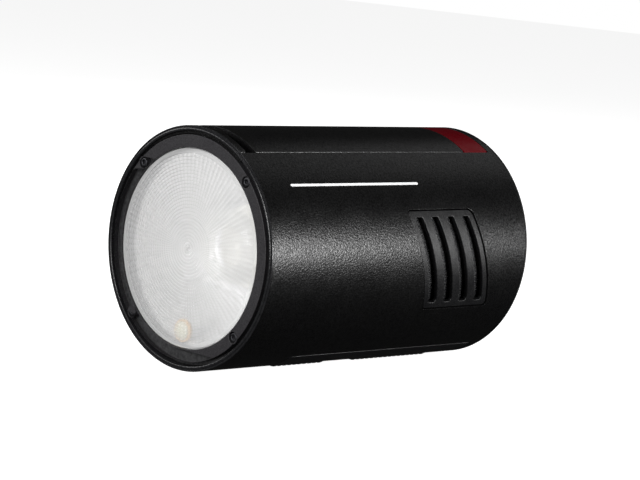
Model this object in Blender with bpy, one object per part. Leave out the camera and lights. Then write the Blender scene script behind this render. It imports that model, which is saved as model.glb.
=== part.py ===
"""Round-head monolight strobe, built as an assembly of separate pieces.

World frame: metres, +Z up. The lens faces -Y, the control panel faces +Y. The origin is at the middle of
the flat foot that the strobe stands on. Everything is modelled around the optical axis: an empty sits where
that axis meets the front plane, and in its frame x is sideways, y is the depth behind the front plane and
z is the height above the axis.
"""

import math

import bmesh
import bpy
from mathutils import Matrix, Vector

MM = 0.001

# ---------------------------------------------------------------- driving dimensions
BODY_R = 38.0 * MM  # outside radius of the round body
BODY_LEN = 116.0 * MM  # front plane to rear panel
WALL = 2.0 * MM  # housing wall
GAP = 0.3 * MM  # clearance between pieces that touch or slide
DIAL_RISE = 4.0 * MM  # how far the dial stands out of the rear panel
FOOT_DROP = 0.15 * MM  # how far the foot stands below the round body

RING_STEPS = 48  # facets round a large ring
SMALL_STEPS = 16  # facets round a button or a boss
HOLE_STEPS = 10  # facets round a screw

# front end
RIM_DEPTH = 0.4 * MM
RIM_WIDTH = 1.7 * MM
RIM_SLEEVE = 2.0 * MM
RIM_SLEEVE_WALL = 0.6 * MM
RIM_GROOVE = 1.2 * MM  # open groove between the bezel and the rim
BEZEL_WIDTH = 3.9 * MM
BEZEL_SET_BACK = 0.1 * MM
BEZEL_THICK = 2.0 * MM
LENS_SET_BACK = 0.4 * MM
LENS_THICK = 2.7 * MM
LENS_FLANGE = 0.7 * MM
CARRIER_DEPTH = 5.4 * MM
GASKET_THICK = 0.6 * MM
REFLECTOR_DEPTH = 22.8 * MM
REFLECTOR_WALL = 0.8 * MM
REFLECTOR_BACK_R = 13.6 * MM
TUBE_RING_R = 9.6 * MM
TUBE_R = 2.6 * MM
TUBE_DEPTH = 17.0 * MM
LED_INSET = 4.1 * MM  # from the aperture's edge to the middle of the lamp
LED_ANGLE = -99.5
LED_R = 3.6 * MM
LED_HEIGHT = 2.2 * MM
LED_POST = 13.0 * MM
BEZEL_SCREW_INSET = 1.6 * MM

# top strip: front bridge, finger slot, battery, sensor window
BRIDGE_LEN = 2.2 * MM
FINGER_SLOT = 3.95 * MM
SLOT_DEPTH = 5.0 * MM
WINDOW_LEN = 11.4 * MM
REAR_BRIDGE = 2.6 * MM
STRIP_WALL = 1.6 * MM

# battery
CELL_R = 9.2 * MM
CELL_LEN = 65.2 * MM
CELL_SLACK = 0.25 * MM  # beside each cell
TRAY_WALL = 1.0 * MM
BAY_WALL = 1.2 * MM
SHELF_HALF = 14.0 * MM  # the tray's tongue under the front of the cover
SHELF_THICK = 1.2 * MM
CONTACT_HALF = 6.5 * MM
CONTACT_LEN = 9.0 * MM
CONTACT_FROM_END = 4.0 * MM
TERMINAL_INSET = 1.0 * MM
TERMINAL_THICK = 0.45 * MM
LATCH_TRAVEL = 1.4 * MM

# side vents
VENT_MID = 81.1 * MM
VENT_LEN = 29.7 * MM
VENT_HALF_ANGLE = 24.8
VENT_SLANT = 0.235 * MM  # how far the vent leans back for each degree down
VENT_TURN = -0.6  # the vent's middle, in degrees above the side
VENT_RECESS = 0.3 * MM
SLOT_COUNT = 4
SLOT_WIDTH = 3.7 * MM
SLOT_PITCH = 7.2 * MM
SLOT_HALF_ANGLE = 21.6

# base
BASE_FRONT = 28.0 * MM
BASE_HALF_ANGLE = 33.0
FOOT_HALF = 5.5 * MM
FOOT_MARGIN = 7.0 * MM
STUD_R = 3.2 * MM  # clearance radius for a 1/4 inch stud
BUSH_R = 5.6 * MM
BUSH_FROM_FRONT = 64.0 * MM
BUSH_HEIGHT = 7.4 * MM

# electronics
CAP_R = 12.0 * MM
CAP_LEN = 56.0 * MM
CAP_SPACING = 0.8 * MM  # from the middle plane to each capacitor
CAP_BELOW_BAY = 3.3 * MM
BOARD_BELOW_CAP = 2.0 * MM
POWER_BOARD_HALF = 27.0 * MM
TRANSFORMER = (22.0 * MM, 20.0 * MM, 10.0 * MM)
TRANSFORMER_BEHIND_BUSH = 12.0 * MM
COIL_R = 4.0 * MM
COIL_LEN = 12.0 * MM
USB_WIDE = 9.0 * MM
USB_HIGH = 3.4 * MM
USB_WALL = 0.4 * MM
JACK_WIDE = 6.4 * MM
JACK_BORE_R = 1.8 * MM
SOCKET_SET_BACK = 0.8 * MM  # the sockets stop this far outside the shell's inner face

# port opening on the -X side
PORT_FROM = 36.3 * MM
PORT_LEN = 19.4 * MM
PORT_HALF_HEIGHT = 6.5 * MM

# rear panel; "across" is +X, "up" is +Z
PANEL_THICK = 2.2 * MM
PANEL_LIP = 0.7 * MM
DISPLAY_WIDE = 31.0 * MM
DISPLAY_HIGH = 25.0 * MM
DISPLAY_UP = 11.0 * MM
DISPLAY_LEDGE = 1.5 * MM
DIAL_R = 12.0 * MM
DIAL_UP = -17.0 * MM
DIAL_HUB_R = 8.0 * MM
SET_R = 5.0 * MM
BUTTON_R = 3.6 * MM
BUTTON_RISE = 1.0 * MM
BUTTON_TRAVEL = 0.6 * MM
FLANGE = 0.6 * MM  # how far a button's flange stands out
BUTTONS = {
    "mode_button": (22.5 * MM, -6.0 * MM),
    "group_button": (19.8 * MM, -19.5 * MM),
    "lamp_button": (-19.8 * MM, -19.5 * MM),
    "sync_button": (-22.5 * MM, -6.0 * MM),
    "test_button": (-26.5 * MM, 12.0 * MM),
}
SWITCH_AT = (26.5 * MM, 12.0 * MM)
SWITCH_WIDE = 3.6 * MM
SWITCH_HIGH = 5.0 * MM
SWITCH_TRAVEL = 3.4 * MM
FRAME_WIDTH = 4.7 * MM
FRAME_DEPTH = 5.7 * MM
FRAME_SET_BACK = 2.2 * MM  # room for the buttons' flanges between the panel and the frame
BOARD_THICK = 1.6 * MM
MEMBRANE_TOP = -2.5 * MM
MEMBRANE_ARC = (-34.0, -50.0)  # where the membrane's lower corners follow the frame
REAR_SCREW_INSET = 4.7 * MM  # from the panel's edge to the screws
REAR_SCREW_ANGLES = (62.0, 118.0, 242.0, 298.0)

# ---------------------------------------------------------------- worked-out places
AXIS_Z = BODY_R + FOOT_DROP
FRONT_Y = -(BODY_LEN + DIAL_RISE) / 2
INNER_R = BODY_R - WALL
RIM_INNER_R = BODY_R - RIM_WIDTH
BEZEL_R = RIM_INNER_R - RIM_GROOVE
APERTURE_R = BEZEL_R - BEZEL_WIDTH
BEZEL_SCREW_CIRCLE = BEZEL_R - BEZEL_SCREW_INSET
LED_CIRCLE = APERTURE_R - LED_INSET
CELL_X = CELL_R + CELL_SLACK
STRIP_HALF = CELL_X + CELL_R + CELL_SLACK + TRAY_WALL  # half the width of the battery
SEAM_HALF = STRIP_HALF + GAP  # half the width of the housing's open top
HOUSING_FROM = RIM_DEPTH + GAP
HOUSING_TO = BODY_LEN - PANEL_LIP - GAP
BRIDGE_TO = HOUSING_FROM + BRIDGE_LEN
BATTERY_FROM = BRIDGE_TO + FINGER_SLOT
OPEN_TOP_TO = HOUSING_TO - REAR_BRIDGE
WINDOW_TO = OPEN_TOP_TO - GAP
WINDOW_FROM = WINDOW_TO - WINDOW_LEN
BATTERY_TO = WINDOW_FROM - GAP
BEZEL_BACK = BEZEL_SET_BACK + BEZEL_THICK
CARRIER_FROM = BEZEL_BACK + GAP
CARRIER_TO = CARRIER_FROM + CARRIER_DEPTH
LENS_BACK = LENS_SET_BACK + LENS_THICK
LENS_R = APERTURE_R + LENS_FLANGE
REFLECTOR_FROM = LENS_BACK + GASKET_THICK + 3 * GAP + 0.3 * MM
REFLECTOR_TO = REFLECTOR_FROM + REFLECTOR_DEPTH
REFLECTOR_R = APERTURE_R - 0.5 * MM
SLOT_FLOOR_R = BODY_R - SLOT_DEPTH
TRAY_TO = BATTERY_TO - GAP
TRAY_FROM = TRAY_TO - CELL_LEN - 2 * TRAY_WALL - 2 * GAP
CELL_Z = math.sqrt((BODY_R - STRIP_WALL - 0.2 * MM - CELL_R) ** 2 - CELL_X**2)
TRAY_BOTTOM = CELL_Z - CELL_R - GAP - TRAY_WALL
TRAY_TOP = math.sqrt((BODY_R - STRIP_WALL - GAP) ** 2 - STRIP_HALF**2)
BAY_FLOOR = TRAY_BOTTOM - GAP
BAY_TOP = math.sqrt((INNER_R - GAP) ** 2 - (SEAM_HALF + BAY_WALL) ** 2)
PANEL_BACK = BODY_LEN - PANEL_THICK
REAR_SCREW_CIRCLE = BODY_R - REAR_SCREW_INSET
FRAME_INNER_R = INNER_R - GAP - FRAME_WIDTH
FRAME_TO = PANEL_BACK - FRAME_SET_BACK
FRAME_FROM = FRAME_TO - FRAME_DEPTH
BOARD_TO = FRAME_FROM - GAP
BOARD_FROM = BOARD_TO - BOARD_THICK


# ---------------------------------------------------------------- helpers
def finish(name, colour, roughness, metallic=0.0, alpha=1.0):
    """A plain material for one kind of surface."""
    material = bpy.data.materials.new(name)
    material.use_nodes = True
    shader = material.node_tree.nodes["Principled BSDF"]
    shader.inputs["Base Color"].default_value = (*colour, 1.0)
    shader.inputs["Roughness"].default_value = roughness
    shader.inputs["Metallic"].default_value = metallic
    shader.inputs["Alpha"].default_value = alpha
    return material


def empty(name, parent, location):
    """A named point that pieces are parented to."""
    point = bpy.data.objects.new(name, None)
    bpy.context.scene.collection.objects.link(point)
    point.parent = parent
    point.location = location
    return point


def add(name, bm, material, parent, location=(0, 0, 0)):
    """Turns a bmesh into a named object."""
    bmesh.ops.remove_doubles(bm, verts=bm.verts, dist=1e-7)
    bmesh.ops.recalc_face_normals(bm, faces=bm.faces)
    mesh = bpy.data.meshes.new(name)
    bm.to_mesh(mesh)
    bm.free()
    mesh.shade_smooth()
    mesh.set_sharp_from_angle(angle=math.radians(32))
    mesh.materials.append(material)
    piece = bpy.data.objects.new(name, mesh)
    bpy.context.scene.collection.objects.link(piece)
    piece.parent = parent
    piece.location = location
    return piece


def turned(name, profile, material, parent, location=(0, 0, 0), steps=RING_STEPS, about="Y"):
    """A turned piece: the closed profile of (radius, height) points, spun round the Y or Z axis."""
    bm = bmesh.new()
    spin_axis = Vector((0, 1, 0)) if about == "Y" else Vector((0, 0, 1))
    corners = [bm.verts.new(Vector((radius, 0, 0)) + spin_axis * height) for radius, height in profile]
    for first, second in zip(corners, corners[1:] + corners[:1]):
        if first.co.x > 0 or second.co.x > 0:
            bm.edges.new((first, second))
    bmesh.ops.spin(
        bm, geom=bm.verts[:] + bm.edges[:], cent=(0, 0, 0), axis=spin_axis, angle=math.tau, steps=steps
    )
    return add(name, bm, material, parent, location)


def prism(name, outline, start, length, material, parent, location=(0, 0, 0)):
    """A piece with one cross-section: the closed (x, z) outline, drawn out along +Y."""
    bm = bmesh.new()
    face = bm.faces.new([bm.verts.new((x, start, z)) for x, z in outline])
    drawn = bmesh.ops.extrude_face_region(bm, geom=[face])
    moved = [part for part in drawn["geom"] if isinstance(part, bmesh.types.BMVert)]
    bmesh.ops.translate(bm, verts=moved, vec=(0, length, 0))
    return add(name, bm, material, parent, location)


def box(name, low, high, material, parent):
    """A rectangular piece between two corners, with its origin in its middle."""
    low, high = Vector(low), Vector(high)
    bm = bmesh.new()
    bmesh.ops.create_cube(bm, size=1, matrix=Matrix.Diagonal((*(high - low), 1)))
    return add(name, bm, material, parent, (low + high) / 2)


def wrapped(name, angles, stations, radii, material, parent, slant=0.0, is_open=None):
    """A plate bent round the body, between two radii: a grid of depths and angles (0 at +X, 90 on top).

    slant leans the grid back for each degree down, and is_open(i, j) says which cells are left out.
    """
    inner, outer = radii
    middle = (angles[0] + angles[-1]) / 2
    bm = bmesh.new()

    def corner(angle, station):
        turn = math.radians(angle)
        lean = slant * (middle - angle)
        return bm.verts.new((outer * math.cos(turn), station + lean, outer * math.sin(turn)))

    grid = [[corner(angle, station) for station in stations] for angle in angles]
    for i in range(len(angles) - 1):
        for j in range(len(stations) - 1):
            if not (is_open and is_open(i, j)):
                bm.faces.new((grid[i][j], grid[i][j + 1], grid[i + 1][j + 1], grid[i + 1][j]))
    loose = [vertex for vertex in bm.verts if not vertex.link_faces]
    bmesh.ops.delete(bm, geom=loose, context="VERTS")
    drawn = bmesh.ops.extrude_face_region(bm, geom=bm.faces[:])
    for part in drawn["geom"]:
        if isinstance(part, bmesh.types.BMVert):
            part.co.x *= inner / outer
            part.co.z *= inner / outer
    return add(name, bm, material, parent)


def curved_top(half_width, radius, steps=14):
    """(x, z) points along the top of a round body, from -half_width to half_width."""
    across = [half_width * (2 * k / steps - 1) for k in range(steps + 1)]
    return [(x, math.sqrt(radius**2 - x**2)) for x in across]


def arch(half_width, inner, outer, steps=14):
    """The outline of an arched plate with upright sides, between two radii round the axis."""
    return curved_top(half_width, outer, steps) + curved_top(half_width, inner, steps)[::-1]


def combine(piece, tool, operation):
    """Cuts the tool out of a piece, or joins it on, with the tool kept as a hidden guide."""
    tool.hide_render = True
    tool.display_type = "WIRE"
    modifier = piece.modifiers.new(tool.name, "BOOLEAN")
    modifier.object = tool
    modifier.operation = operation
    modifier.solver = "EXACT"
    return piece


def cut(piece, tool):
    return combine(piece, tool, "DIFFERENCE")


def join(piece, tool):
    return combine(piece, tool, "UNION")


def disc(radius, start, end):
    """The profile of a solid round bar between two heights."""
    return [(0, start), (radius, start), (radius, end), (0, end)]


def ring(inner, outer, start, end):
    """The profile of a plain ring between two heights."""
    return [(inner, start), (outer, start), (outer, end), (inner, end)]


def spaced(first, last, count):
    """Evenly spaced values, both ends included."""
    return [first + (last - first) * k / (count - 1) for k in range(count)]


def on_circle(radius, angle):
    """(x, z) of a point on a circle round the axis."""
    return radius * math.cos(math.radians(angle)), radius * math.sin(math.radians(angle))


# ---------------------------------------------------------------- start
for old in list(bpy.data.objects):
    bpy.data.objects.remove(old)

TEXTURED_BLACK = finish("textured_black", (0.022, 0.022, 0.024), 0.55)
SMOOTH_BLACK = finish("smooth_black", (0.018, 0.018, 0.019), 0.28)
SATIN_BLACK = finish("satin_black", (0.035, 0.034, 0.036), 0.45)
SCREW_BLACK = finish("screw_black", (0.03, 0.03, 0.032), 0.35, 0.8)
LENS_PLASTIC = finish("lens_plastic", (0.86, 0.87, 0.87), 0.15, 0.0, 0.35)
RUBBER_BLACK = finish("rubber_black", (0.03, 0.03, 0.03), 0.75)
INNER_PLASTIC = finish("inner_plastic", (0.05, 0.05, 0.052), 0.6)
REFLECTOR_SILVER = finish("reflector_silver", (0.82, 0.82, 0.83), 0.25, 1.0)
TUBE_GLASS = finish("tube_glass", (0.93, 0.93, 0.9), 0.05, 0.0, 0.4)
CERAMIC_WHITE = finish("ceramic_white", (0.85, 0.84, 0.8), 0.5)
LED_YELLOW = finish("led_yellow", (0.9, 0.83, 0.42), 0.35)
BARE_ALUMINIUM = finish("bare_aluminium", (0.7, 0.71, 0.72), 0.35, 1.0)
BRASS = finish("brass", (0.72, 0.55, 0.26), 0.3, 1.0)
WINDOW_RED = finish("window_red", (0.25, 0.0, 0.01), 0.12, 0.0, 0.8)
BOARD_GREEN = finish("board_green", (0.02, 0.16, 0.07), 0.45)
SLEEVE_GREY = finish("sleeve_grey", (0.09, 0.09, 0.1), 0.35)
DISPLAY_DARK = finish("display_dark", (0.05, 0.06, 0.055), 0.2)
CELL_BLUE = finish("cell_blue", (0.04, 0.2, 0.5), 0.35)
SPRING_STEEL = finish("spring_steel", (0.6, 0.6, 0.6), 0.3, 1.0)

AXIS = empty("optical_axis", None, (0, FRONT_Y, AXIS_Z))


# ---------------------------------------------------------------- front end
def make_front_rim():
    """Smooth outer ring; a short sleeve steps inside the housing."""
    sleeve_r = RIM_INNER_R + RIM_SLEEVE_WALL
    sleeve_to = RIM_DEPTH + RIM_SLEEVE
    edge = 0.35 * MM
    profile = [
        (RIM_INNER_R, 0),
        (BODY_R - edge, 0),
        (BODY_R, edge),
        (BODY_R, RIM_DEPTH),
        (sleeve_r, RIM_DEPTH),
        (sleeve_r, sleeve_to),
        (RIM_INNER_R, sleeve_to),
    ]
    rim = turned("front_rim", profile, SMOOTH_BLACK, AXIS)
    clear_bridge = box(
        "rim_bridge_cut",
        (-SEAM_HALF, RIM_DEPTH, 0),
        (SEAM_HALF, sleeve_to + GAP, BODY_R + WALL),
        SMOOTH_BLACK,
        AXIS,
    )
    cut(rim, clear_bridge)


def screw(name, x, z, head_at, reach, inwards, parent=AXIS):
    """A small countersunk screw lying along Y; inwards is +1 when it is driven towards +Y."""
    head_r, shank_r, head_depth = 1.5 * MM, 0.7 * MM, 1.0 * MM
    socket_r, socket_depth = 0.65 * MM, 0.5 * MM
    profile = [
        (0, socket_depth),
        (socket_r, socket_depth),
        (socket_r, 0),
        (head_r, 0),
        (head_r, head_depth * 0.5),
        (shank_r, head_depth),
        (shank_r, reach),
        (0, reach),
    ]
    profile = [(radius, height * inwards) for radius, height in profile]
    turned(name, profile, SCREW_BLACK, parent, (x, head_at, z), HOLE_STEPS)


def screw_hole(name, x, z, head_at, reach, inwards):
    """The counterbored hole that a screw sits in, as a cutting tool."""
    head_r, shank_r, head_depth = 1.5 * MM + GAP, 0.7 * MM + GAP, 1.0 * MM + GAP
    profile = [
        (0, -1 * MM),
        (head_r, -1 * MM),
        (head_r, head_depth),
        (shank_r, head_depth),
        (shank_r, reach + GAP),
        (0, reach + GAP),
    ]
    profile = [(radius, height * inwards) for radius, height in profile]
    return turned(name, profile, SCREW_BLACK, AXIS, (x, head_at, z), HOLE_STEPS)


def make_bezel_and_carrier():
    """Flat bezel, four screws, and the ring inside that they bite into."""
    edge = 0.3 * MM
    bezel = turned(
        "bezel_ring",
        [
            (APERTURE_R, BEZEL_SET_BACK + edge),
            (APERTURE_R + edge, BEZEL_SET_BACK),
            (BEZEL_R - edge, BEZEL_SET_BACK),
            (BEZEL_R, BEZEL_SET_BACK + edge),
            (BEZEL_R, BEZEL_BACK),
            (APERTURE_R, BEZEL_BACK),
        ],
        SATIN_BLACK,
        AXIS,
    )
    pocket_r = LENS_R + GAP
    pocket_to = LENS_BACK + GASKET_THICK + 2 * GAP
    carrier = turned(
        "front_carrier",
        [
            (pocket_r, CARRIER_FROM),
            (INNER_R, CARRIER_FROM),
            (INNER_R, CARRIER_TO),
            (REFLECTOR_R + GAP, CARRIER_TO),
            (REFLECTOR_R + GAP, pocket_to),
            (pocket_r, pocket_to),
        ],
        INNER_PLASTIC,
        AXIS,
    )
    slot_cut = prism(
        "carrier_slot_cut",
        arch(SEAM_HALF, SLOT_FLOOR_R, BODY_R + WALL),
        CARRIER_FROM - WALL,
        CARRIER_DEPTH + 2 * WALL,
        INNER_PLASTIC,
        AXIS,
    )
    cut(carrier, slot_cut)
    head_at = BEZEL_SET_BACK + 0.15 * MM
    reach = 6.4 * MM
    for number, angle in enumerate((45, 135, 225, 315), 1):
        x, z = on_circle(BEZEL_SCREW_CIRCLE, angle)
        screw(f"bezel_screw_{number}", x, z, head_at, reach, 1)
        hole = screw_hole(f"bezel_hole_{number}", x, z, head_at, reach, 1)
        cut(bezel, hole)
        cut(carrier, hole)


def make_lens_and_gasket():
    """Lens: a thick disc that stands into the aperture, with a flange behind the bezel."""
    face_r = APERTURE_R - GAP
    edge = 0.3 * MM
    turned(
        "front_lens",
        [
            (0, LENS_SET_BACK),
            (face_r - edge, LENS_SET_BACK),
            (face_r, LENS_SET_BACK + edge),
            (face_r, CARRIER_FROM),
            (LENS_R, CARRIER_FROM),
            (LENS_R, LENS_BACK),
            (0, LENS_BACK),
        ],
        LENS_PLASTIC,
        AXIS,
    )
    start = LENS_BACK + GAP
    turned("lens_gasket", ring(REFLECTOR_R + GAP, LENS_R, start, start + GASKET_THICK), RUBBER_BLACK, AXIS)


def reflector_curve(share):
    """Inside radius of the reflector, from 0 at its mouth to 1 at its back."""
    mouth = REFLECTOR_R - REFLECTOR_WALL
    return REFLECTOR_BACK_R + (mouth - REFLECTOR_BACK_R) * math.sqrt(1 - share)


def make_reflector():
    """Silver bowl with a bay at the bottom for the modelling lamp."""
    shares = [1 - (1 - k / 6) ** 2 for k in range(7)]
    inside = [(reflector_curve(s), REFLECTOR_FROM + REFLECTOR_DEPTH * s) for s in shares]
    outside = [(radius + REFLECTOR_WALL, depth) for radius, depth in reversed(inside)]
    bowl = turned("reflector", inside + outside, REFLECTOR_SILVER, AXIS, steps=36)
    x, z = on_circle(LED_CIRCLE, LED_ANGLE)
    lamp_bay = turned(
        "lamp_bay_cut", disc(LED_R + 0.45 * MM, 0, REFLECTOR_TO), INNER_PLASTIC, AXIS, (x, 0, z), SMALL_STEPS
    )
    cut(bowl, lamp_bay)


def make_flash_tube():
    """Ring-shaped flash tube on a ceramic base."""
    base_from = REFLECTOR_TO - 1.5 * MM
    base_to = REFLECTOR_TO + 2.3 * MM
    leg_to = base_from + 1.5 * MM
    leg_angles = (250.0, -70.0)
    base = turned(
        "tube_base", disc(REFLECTOR_BACK_R - GAP, base_from, base_to), CERAMIC_WHITE, AXIS, steps=32
    )
    ends = [on_circle(TUBE_RING_R, angle) for angle in leg_angles]
    route = [(ends[0][0], leg_to, ends[0][1])]
    for angle in spaced(*leg_angles, 25):
        x, z = on_circle(TUBE_RING_R, angle)
        route.append((x, TUBE_DEPTH, z))
    route.append((ends[1][0], leg_to, ends[1][1]))
    curve = bpy.data.curves.new("flash_tube", "CURVE")
    curve.dimensions = "3D"
    curve.bevel_depth = TUBE_R
    curve.bevel_resolution = 2
    curve.use_fill_caps = True
    spline = curve.splines.new("POLY")
    spline.points.add(len(route) - 1)
    for point, place in zip(spline.points, route):
        point.co = (*place, 1)
    curve.materials.append(TUBE_GLASS)
    tube = bpy.data.objects.new("flash_tube", curve)
    bpy.context.scene.collection.objects.link(tube)
    tube.parent = AXIS
    for number, (x, z) in enumerate(ends, 1):
        socket = turned(
            f"tube_socket_cut_{number}",
            disc(TUBE_R + GAP, base_from - WALL, leg_to + GAP),
            CERAMIC_WHITE,
            AXIS,
            (x, 0, z),
            SMALL_STEPS,
        )
        cut(base, socket)


def make_modelling_lamp():
    """Domed LED on a post that passes through the reflector's wall."""
    x, z = on_circle(LED_CIRCLE, LED_ANGLE)
    dome_from = LENS_BACK + GAP
    dome_to = dome_from + LED_HEIGHT
    round_steps = 5
    dome = [
        (
            LED_R * math.sin(math.pi / 2 * k / round_steps),
            dome_to - 0.6 * MM - (LED_HEIGHT - 0.6 * MM) * math.cos(math.pi / 2 * k / round_steps),
        )
        for k in range(round_steps + 1)
    ]
    turned("lamp_led", dome + [(LED_R, dome_to), (0, dome_to)], LED_YELLOW, AXIS, (x, 0, z), SMALL_STEPS)
    post_from = dome_to + GAP
    turned(
        "lamp_post",
        disc(LED_R, post_from, post_from + LED_POST),
        BARE_ALUMINIUM,
        AXIS,
        (x, 0, z),
        SMALL_STEPS,
    )


# ---------------------------------------------------------------- housing
def vent_grid(clearance, radii, name, side, material, slots):
    """The vent's slanted shape on one side: the grille itself, or the tool that cuts its opening."""
    half_len = VENT_LEN / 2 + clearance
    half_angle = VENT_HALF_ANGLE + math.degrees(clearance / BODY_R)
    if slots:
        edges = []
        for k in range(SLOT_COUNT):
            middle = SLOT_PITCH * (k - (SLOT_COUNT - 1) / 2)
            edges += [middle - SLOT_WIDTH / 2, middle + SLOT_WIDTH / 2]
        stations = [VENT_MID + step for step in (-half_len, *edges, half_len)]
        inner_angles = spaced(-SLOT_HALF_ANGLE, SLOT_HALF_ANGLE, 9)
        angles = [-half_angle, *inner_angles, half_angle]
        last = len(angles) - 2

        def is_open(i, j):
            return j % 2 == 1 and 0 < i < last
    else:
        stations = [VENT_MID - half_len, VENT_MID + half_len]
        angles = spaced(-half_angle, half_angle, 11)
        is_open = None
    angles = [VENT_TURN + angle for angle in angles]
    if side < 0:
        angles = [180 - angle for angle in angles]
    return wrapped(name, angles, stations, radii, material, AXIS, VENT_SLANT * side, is_open)


def make_housing():
    """The round shell: open along the top for the battery, with openings for vents, base and ports."""
    rebate_r = RIM_INNER_R + RIM_SLEEVE_WALL + GAP
    rebate_to = RIM_DEPTH + RIM_SLEEVE + GAP
    housing = turned(
        "housing",
        [
            (rebate_r, HOUSING_FROM),
            (BODY_R, HOUSING_FROM),
            (BODY_R, HOUSING_TO),
            (INNER_R, HOUSING_TO),
            (INNER_R, rebate_to),
            (rebate_r, rebate_to),
        ],
        TEXTURED_BLACK,
        AXIS,
    )
    open_top = box(
        "open_top_cut",
        (-SEAM_HALF, -WALL, BODY_R / 2),
        (SEAM_HALF, OPEN_TOP_TO, BODY_R + WALL),
        TEXTURED_BLACK,
        AXIS,
    )
    cut(housing, open_top)
    reach = (INNER_R - 3 * WALL, BODY_R + WALL)
    for side, label in ((1, "right"), (-1, "left")):
        cut(housing, vent_grid(GAP, reach, f"vent_cut_{label}", side, TEXTURED_BLACK, slots=False))
        grille_radii = (INNER_R + GAP, BODY_R - VENT_RECESS)
        vent_grid(0, grille_radii, f"vent_grille_{label}", side, SATIN_BLACK, slots=True)
    base_edge = BASE_HALF_ANGLE + math.degrees(GAP / BODY_R)
    base_cut = wrapped(
        "base_cut",
        spaced(-90 - base_edge, -90 + base_edge, 13),
        (BASE_FRONT - GAP, OPEN_TOP_TO + GAP),
        reach,
        TEXTURED_BLACK,
        AXIS,
    )
    cut(housing, base_cut)
    port_cut = box(
        "port_cut",
        (-BODY_R - WALL, PORT_FROM, -PORT_HALF_HEIGHT),
        (-INNER_R + 3 * WALL, PORT_FROM + PORT_LEN, PORT_HALF_HEIGHT),
        TEXTURED_BLACK,
        AXIS,
    )
    cut(housing, port_cut)


def make_base():
    """Bottom plate with a flat foot, and the threaded bush for a light stand."""
    plate = wrapped(
        "base_plate",
        spaced(-90 - BASE_HALF_ANGLE, -90 + BASE_HALF_ANGLE, 13),
        (BASE_FRONT, OPEN_TOP_TO),
        (INNER_R, BODY_R),
        SATIN_BLACK,
        AXIS,
    )
    slope = 2.5 * MM
    foot_from = BASE_FRONT + FOOT_MARGIN
    foot_len = OPEN_TOP_TO - FOOT_MARGIN - foot_from
    foot = prism(
        "foot_land",
        [
            (-FOOT_HALF - slope, -BODY_R + WALL / 2),
            (-FOOT_HALF, -AXIS_Z),
            (FOOT_HALF, -AXIS_Z),
            (FOOT_HALF + slope, -BODY_R + WALL / 2),
        ],
        foot_from,
        foot_len,
        SATIN_BLACK,
        AXIS,
    )
    join(plate, foot)
    bush_at = (0, BUSH_FROM_FRONT, -AXIS_Z)
    bush_from = GAP
    turned(
        "stand_bush",
        ring(STUD_R, BUSH_R, bush_from, bush_from + BUSH_HEIGHT),
        BRASS,
        AXIS,
        bush_at,
        SMALL_STEPS,
        "Z",
    )
    seat = turned(
        "bush_seat_cut", disc(BUSH_R + GAP, -WALL, 3 * WALL), SATIN_BLACK, AXIS, bush_at, SMALL_STEPS, "Z"
    )
    cut(plate, seat)


def make_top_strip():
    """The fixed pieces of the top strip: front bridge and red sensor window."""
    prism(
        "front_bridge",
        arch(STRIP_HALF, BEZEL_R + GAP, BODY_R),
        HOUSING_FROM,
        BRIDGE_LEN,
        TEXTURED_BLACK,
        AXIS,
    )
    prism(
        "sensor_window",
        arch(STRIP_HALF, INNER_R + GAP, BODY_R),
        WINDOW_FROM,
        WINDOW_LEN,
        WINDOW_RED,
        AXIS,
    )
    half = 2.5 * MM
    box(
        "light_sensor",
        (-half, BOARD_FROM - GAP - BOARD_THICK, INNER_R - 7 * MM),
        (half, BOARD_FROM - GAP, INNER_R - 1 * MM),
        SLEEVE_GREY,
        AXIS,
    )


# ---------------------------------------------------------------- battery
def make_battery_bay():
    """Trough inside the body that the battery drops into, with its contact block in the floor."""
    outer_half = SEAM_HALF + BAY_WALL
    bay = box(
        "battery_bay",
        (-outer_half, TRAY_FROM - GAP - BAY_WALL, BAY_FLOOR - BAY_WALL),
        (outer_half, BATTERY_TO + BAY_WALL, BAY_TOP),
        INNER_PLASTIC,
        AXIS,
    )
    hollow = box(
        "bay_hollow_cut",
        (-SEAM_HALF, TRAY_FROM - GAP, BAY_FLOOR),
        (SEAM_HALF, BATTERY_TO, BODY_R),
        INNER_PLASTIC,
        AXIS,
    )
    cut(bay, hollow)
    contact_to = BATTERY_TO - CONTACT_FROM_END
    contact_from = contact_to - CONTACT_LEN
    window = box(
        "contact_window_cut",
        (-CONTACT_HALF - GAP, contact_from - GAP, BAY_FLOOR - 2 * BAY_WALL),
        (CONTACT_HALF + GAP, contact_to + GAP, BAY_FLOOR + BAY_WALL),
        INNER_PLASTIC,
        AXIS,
    )
    cut(bay, window)
    box(
        "bay_contacts",
        (-CONTACT_HALF, contact_from, BAY_FLOOR - 2 * BAY_WALL),
        (CONTACT_HALF, contact_to, BAY_FLOOR),
        BRASS,
        AXIS,
    )
    return contact_from, contact_to


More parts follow.
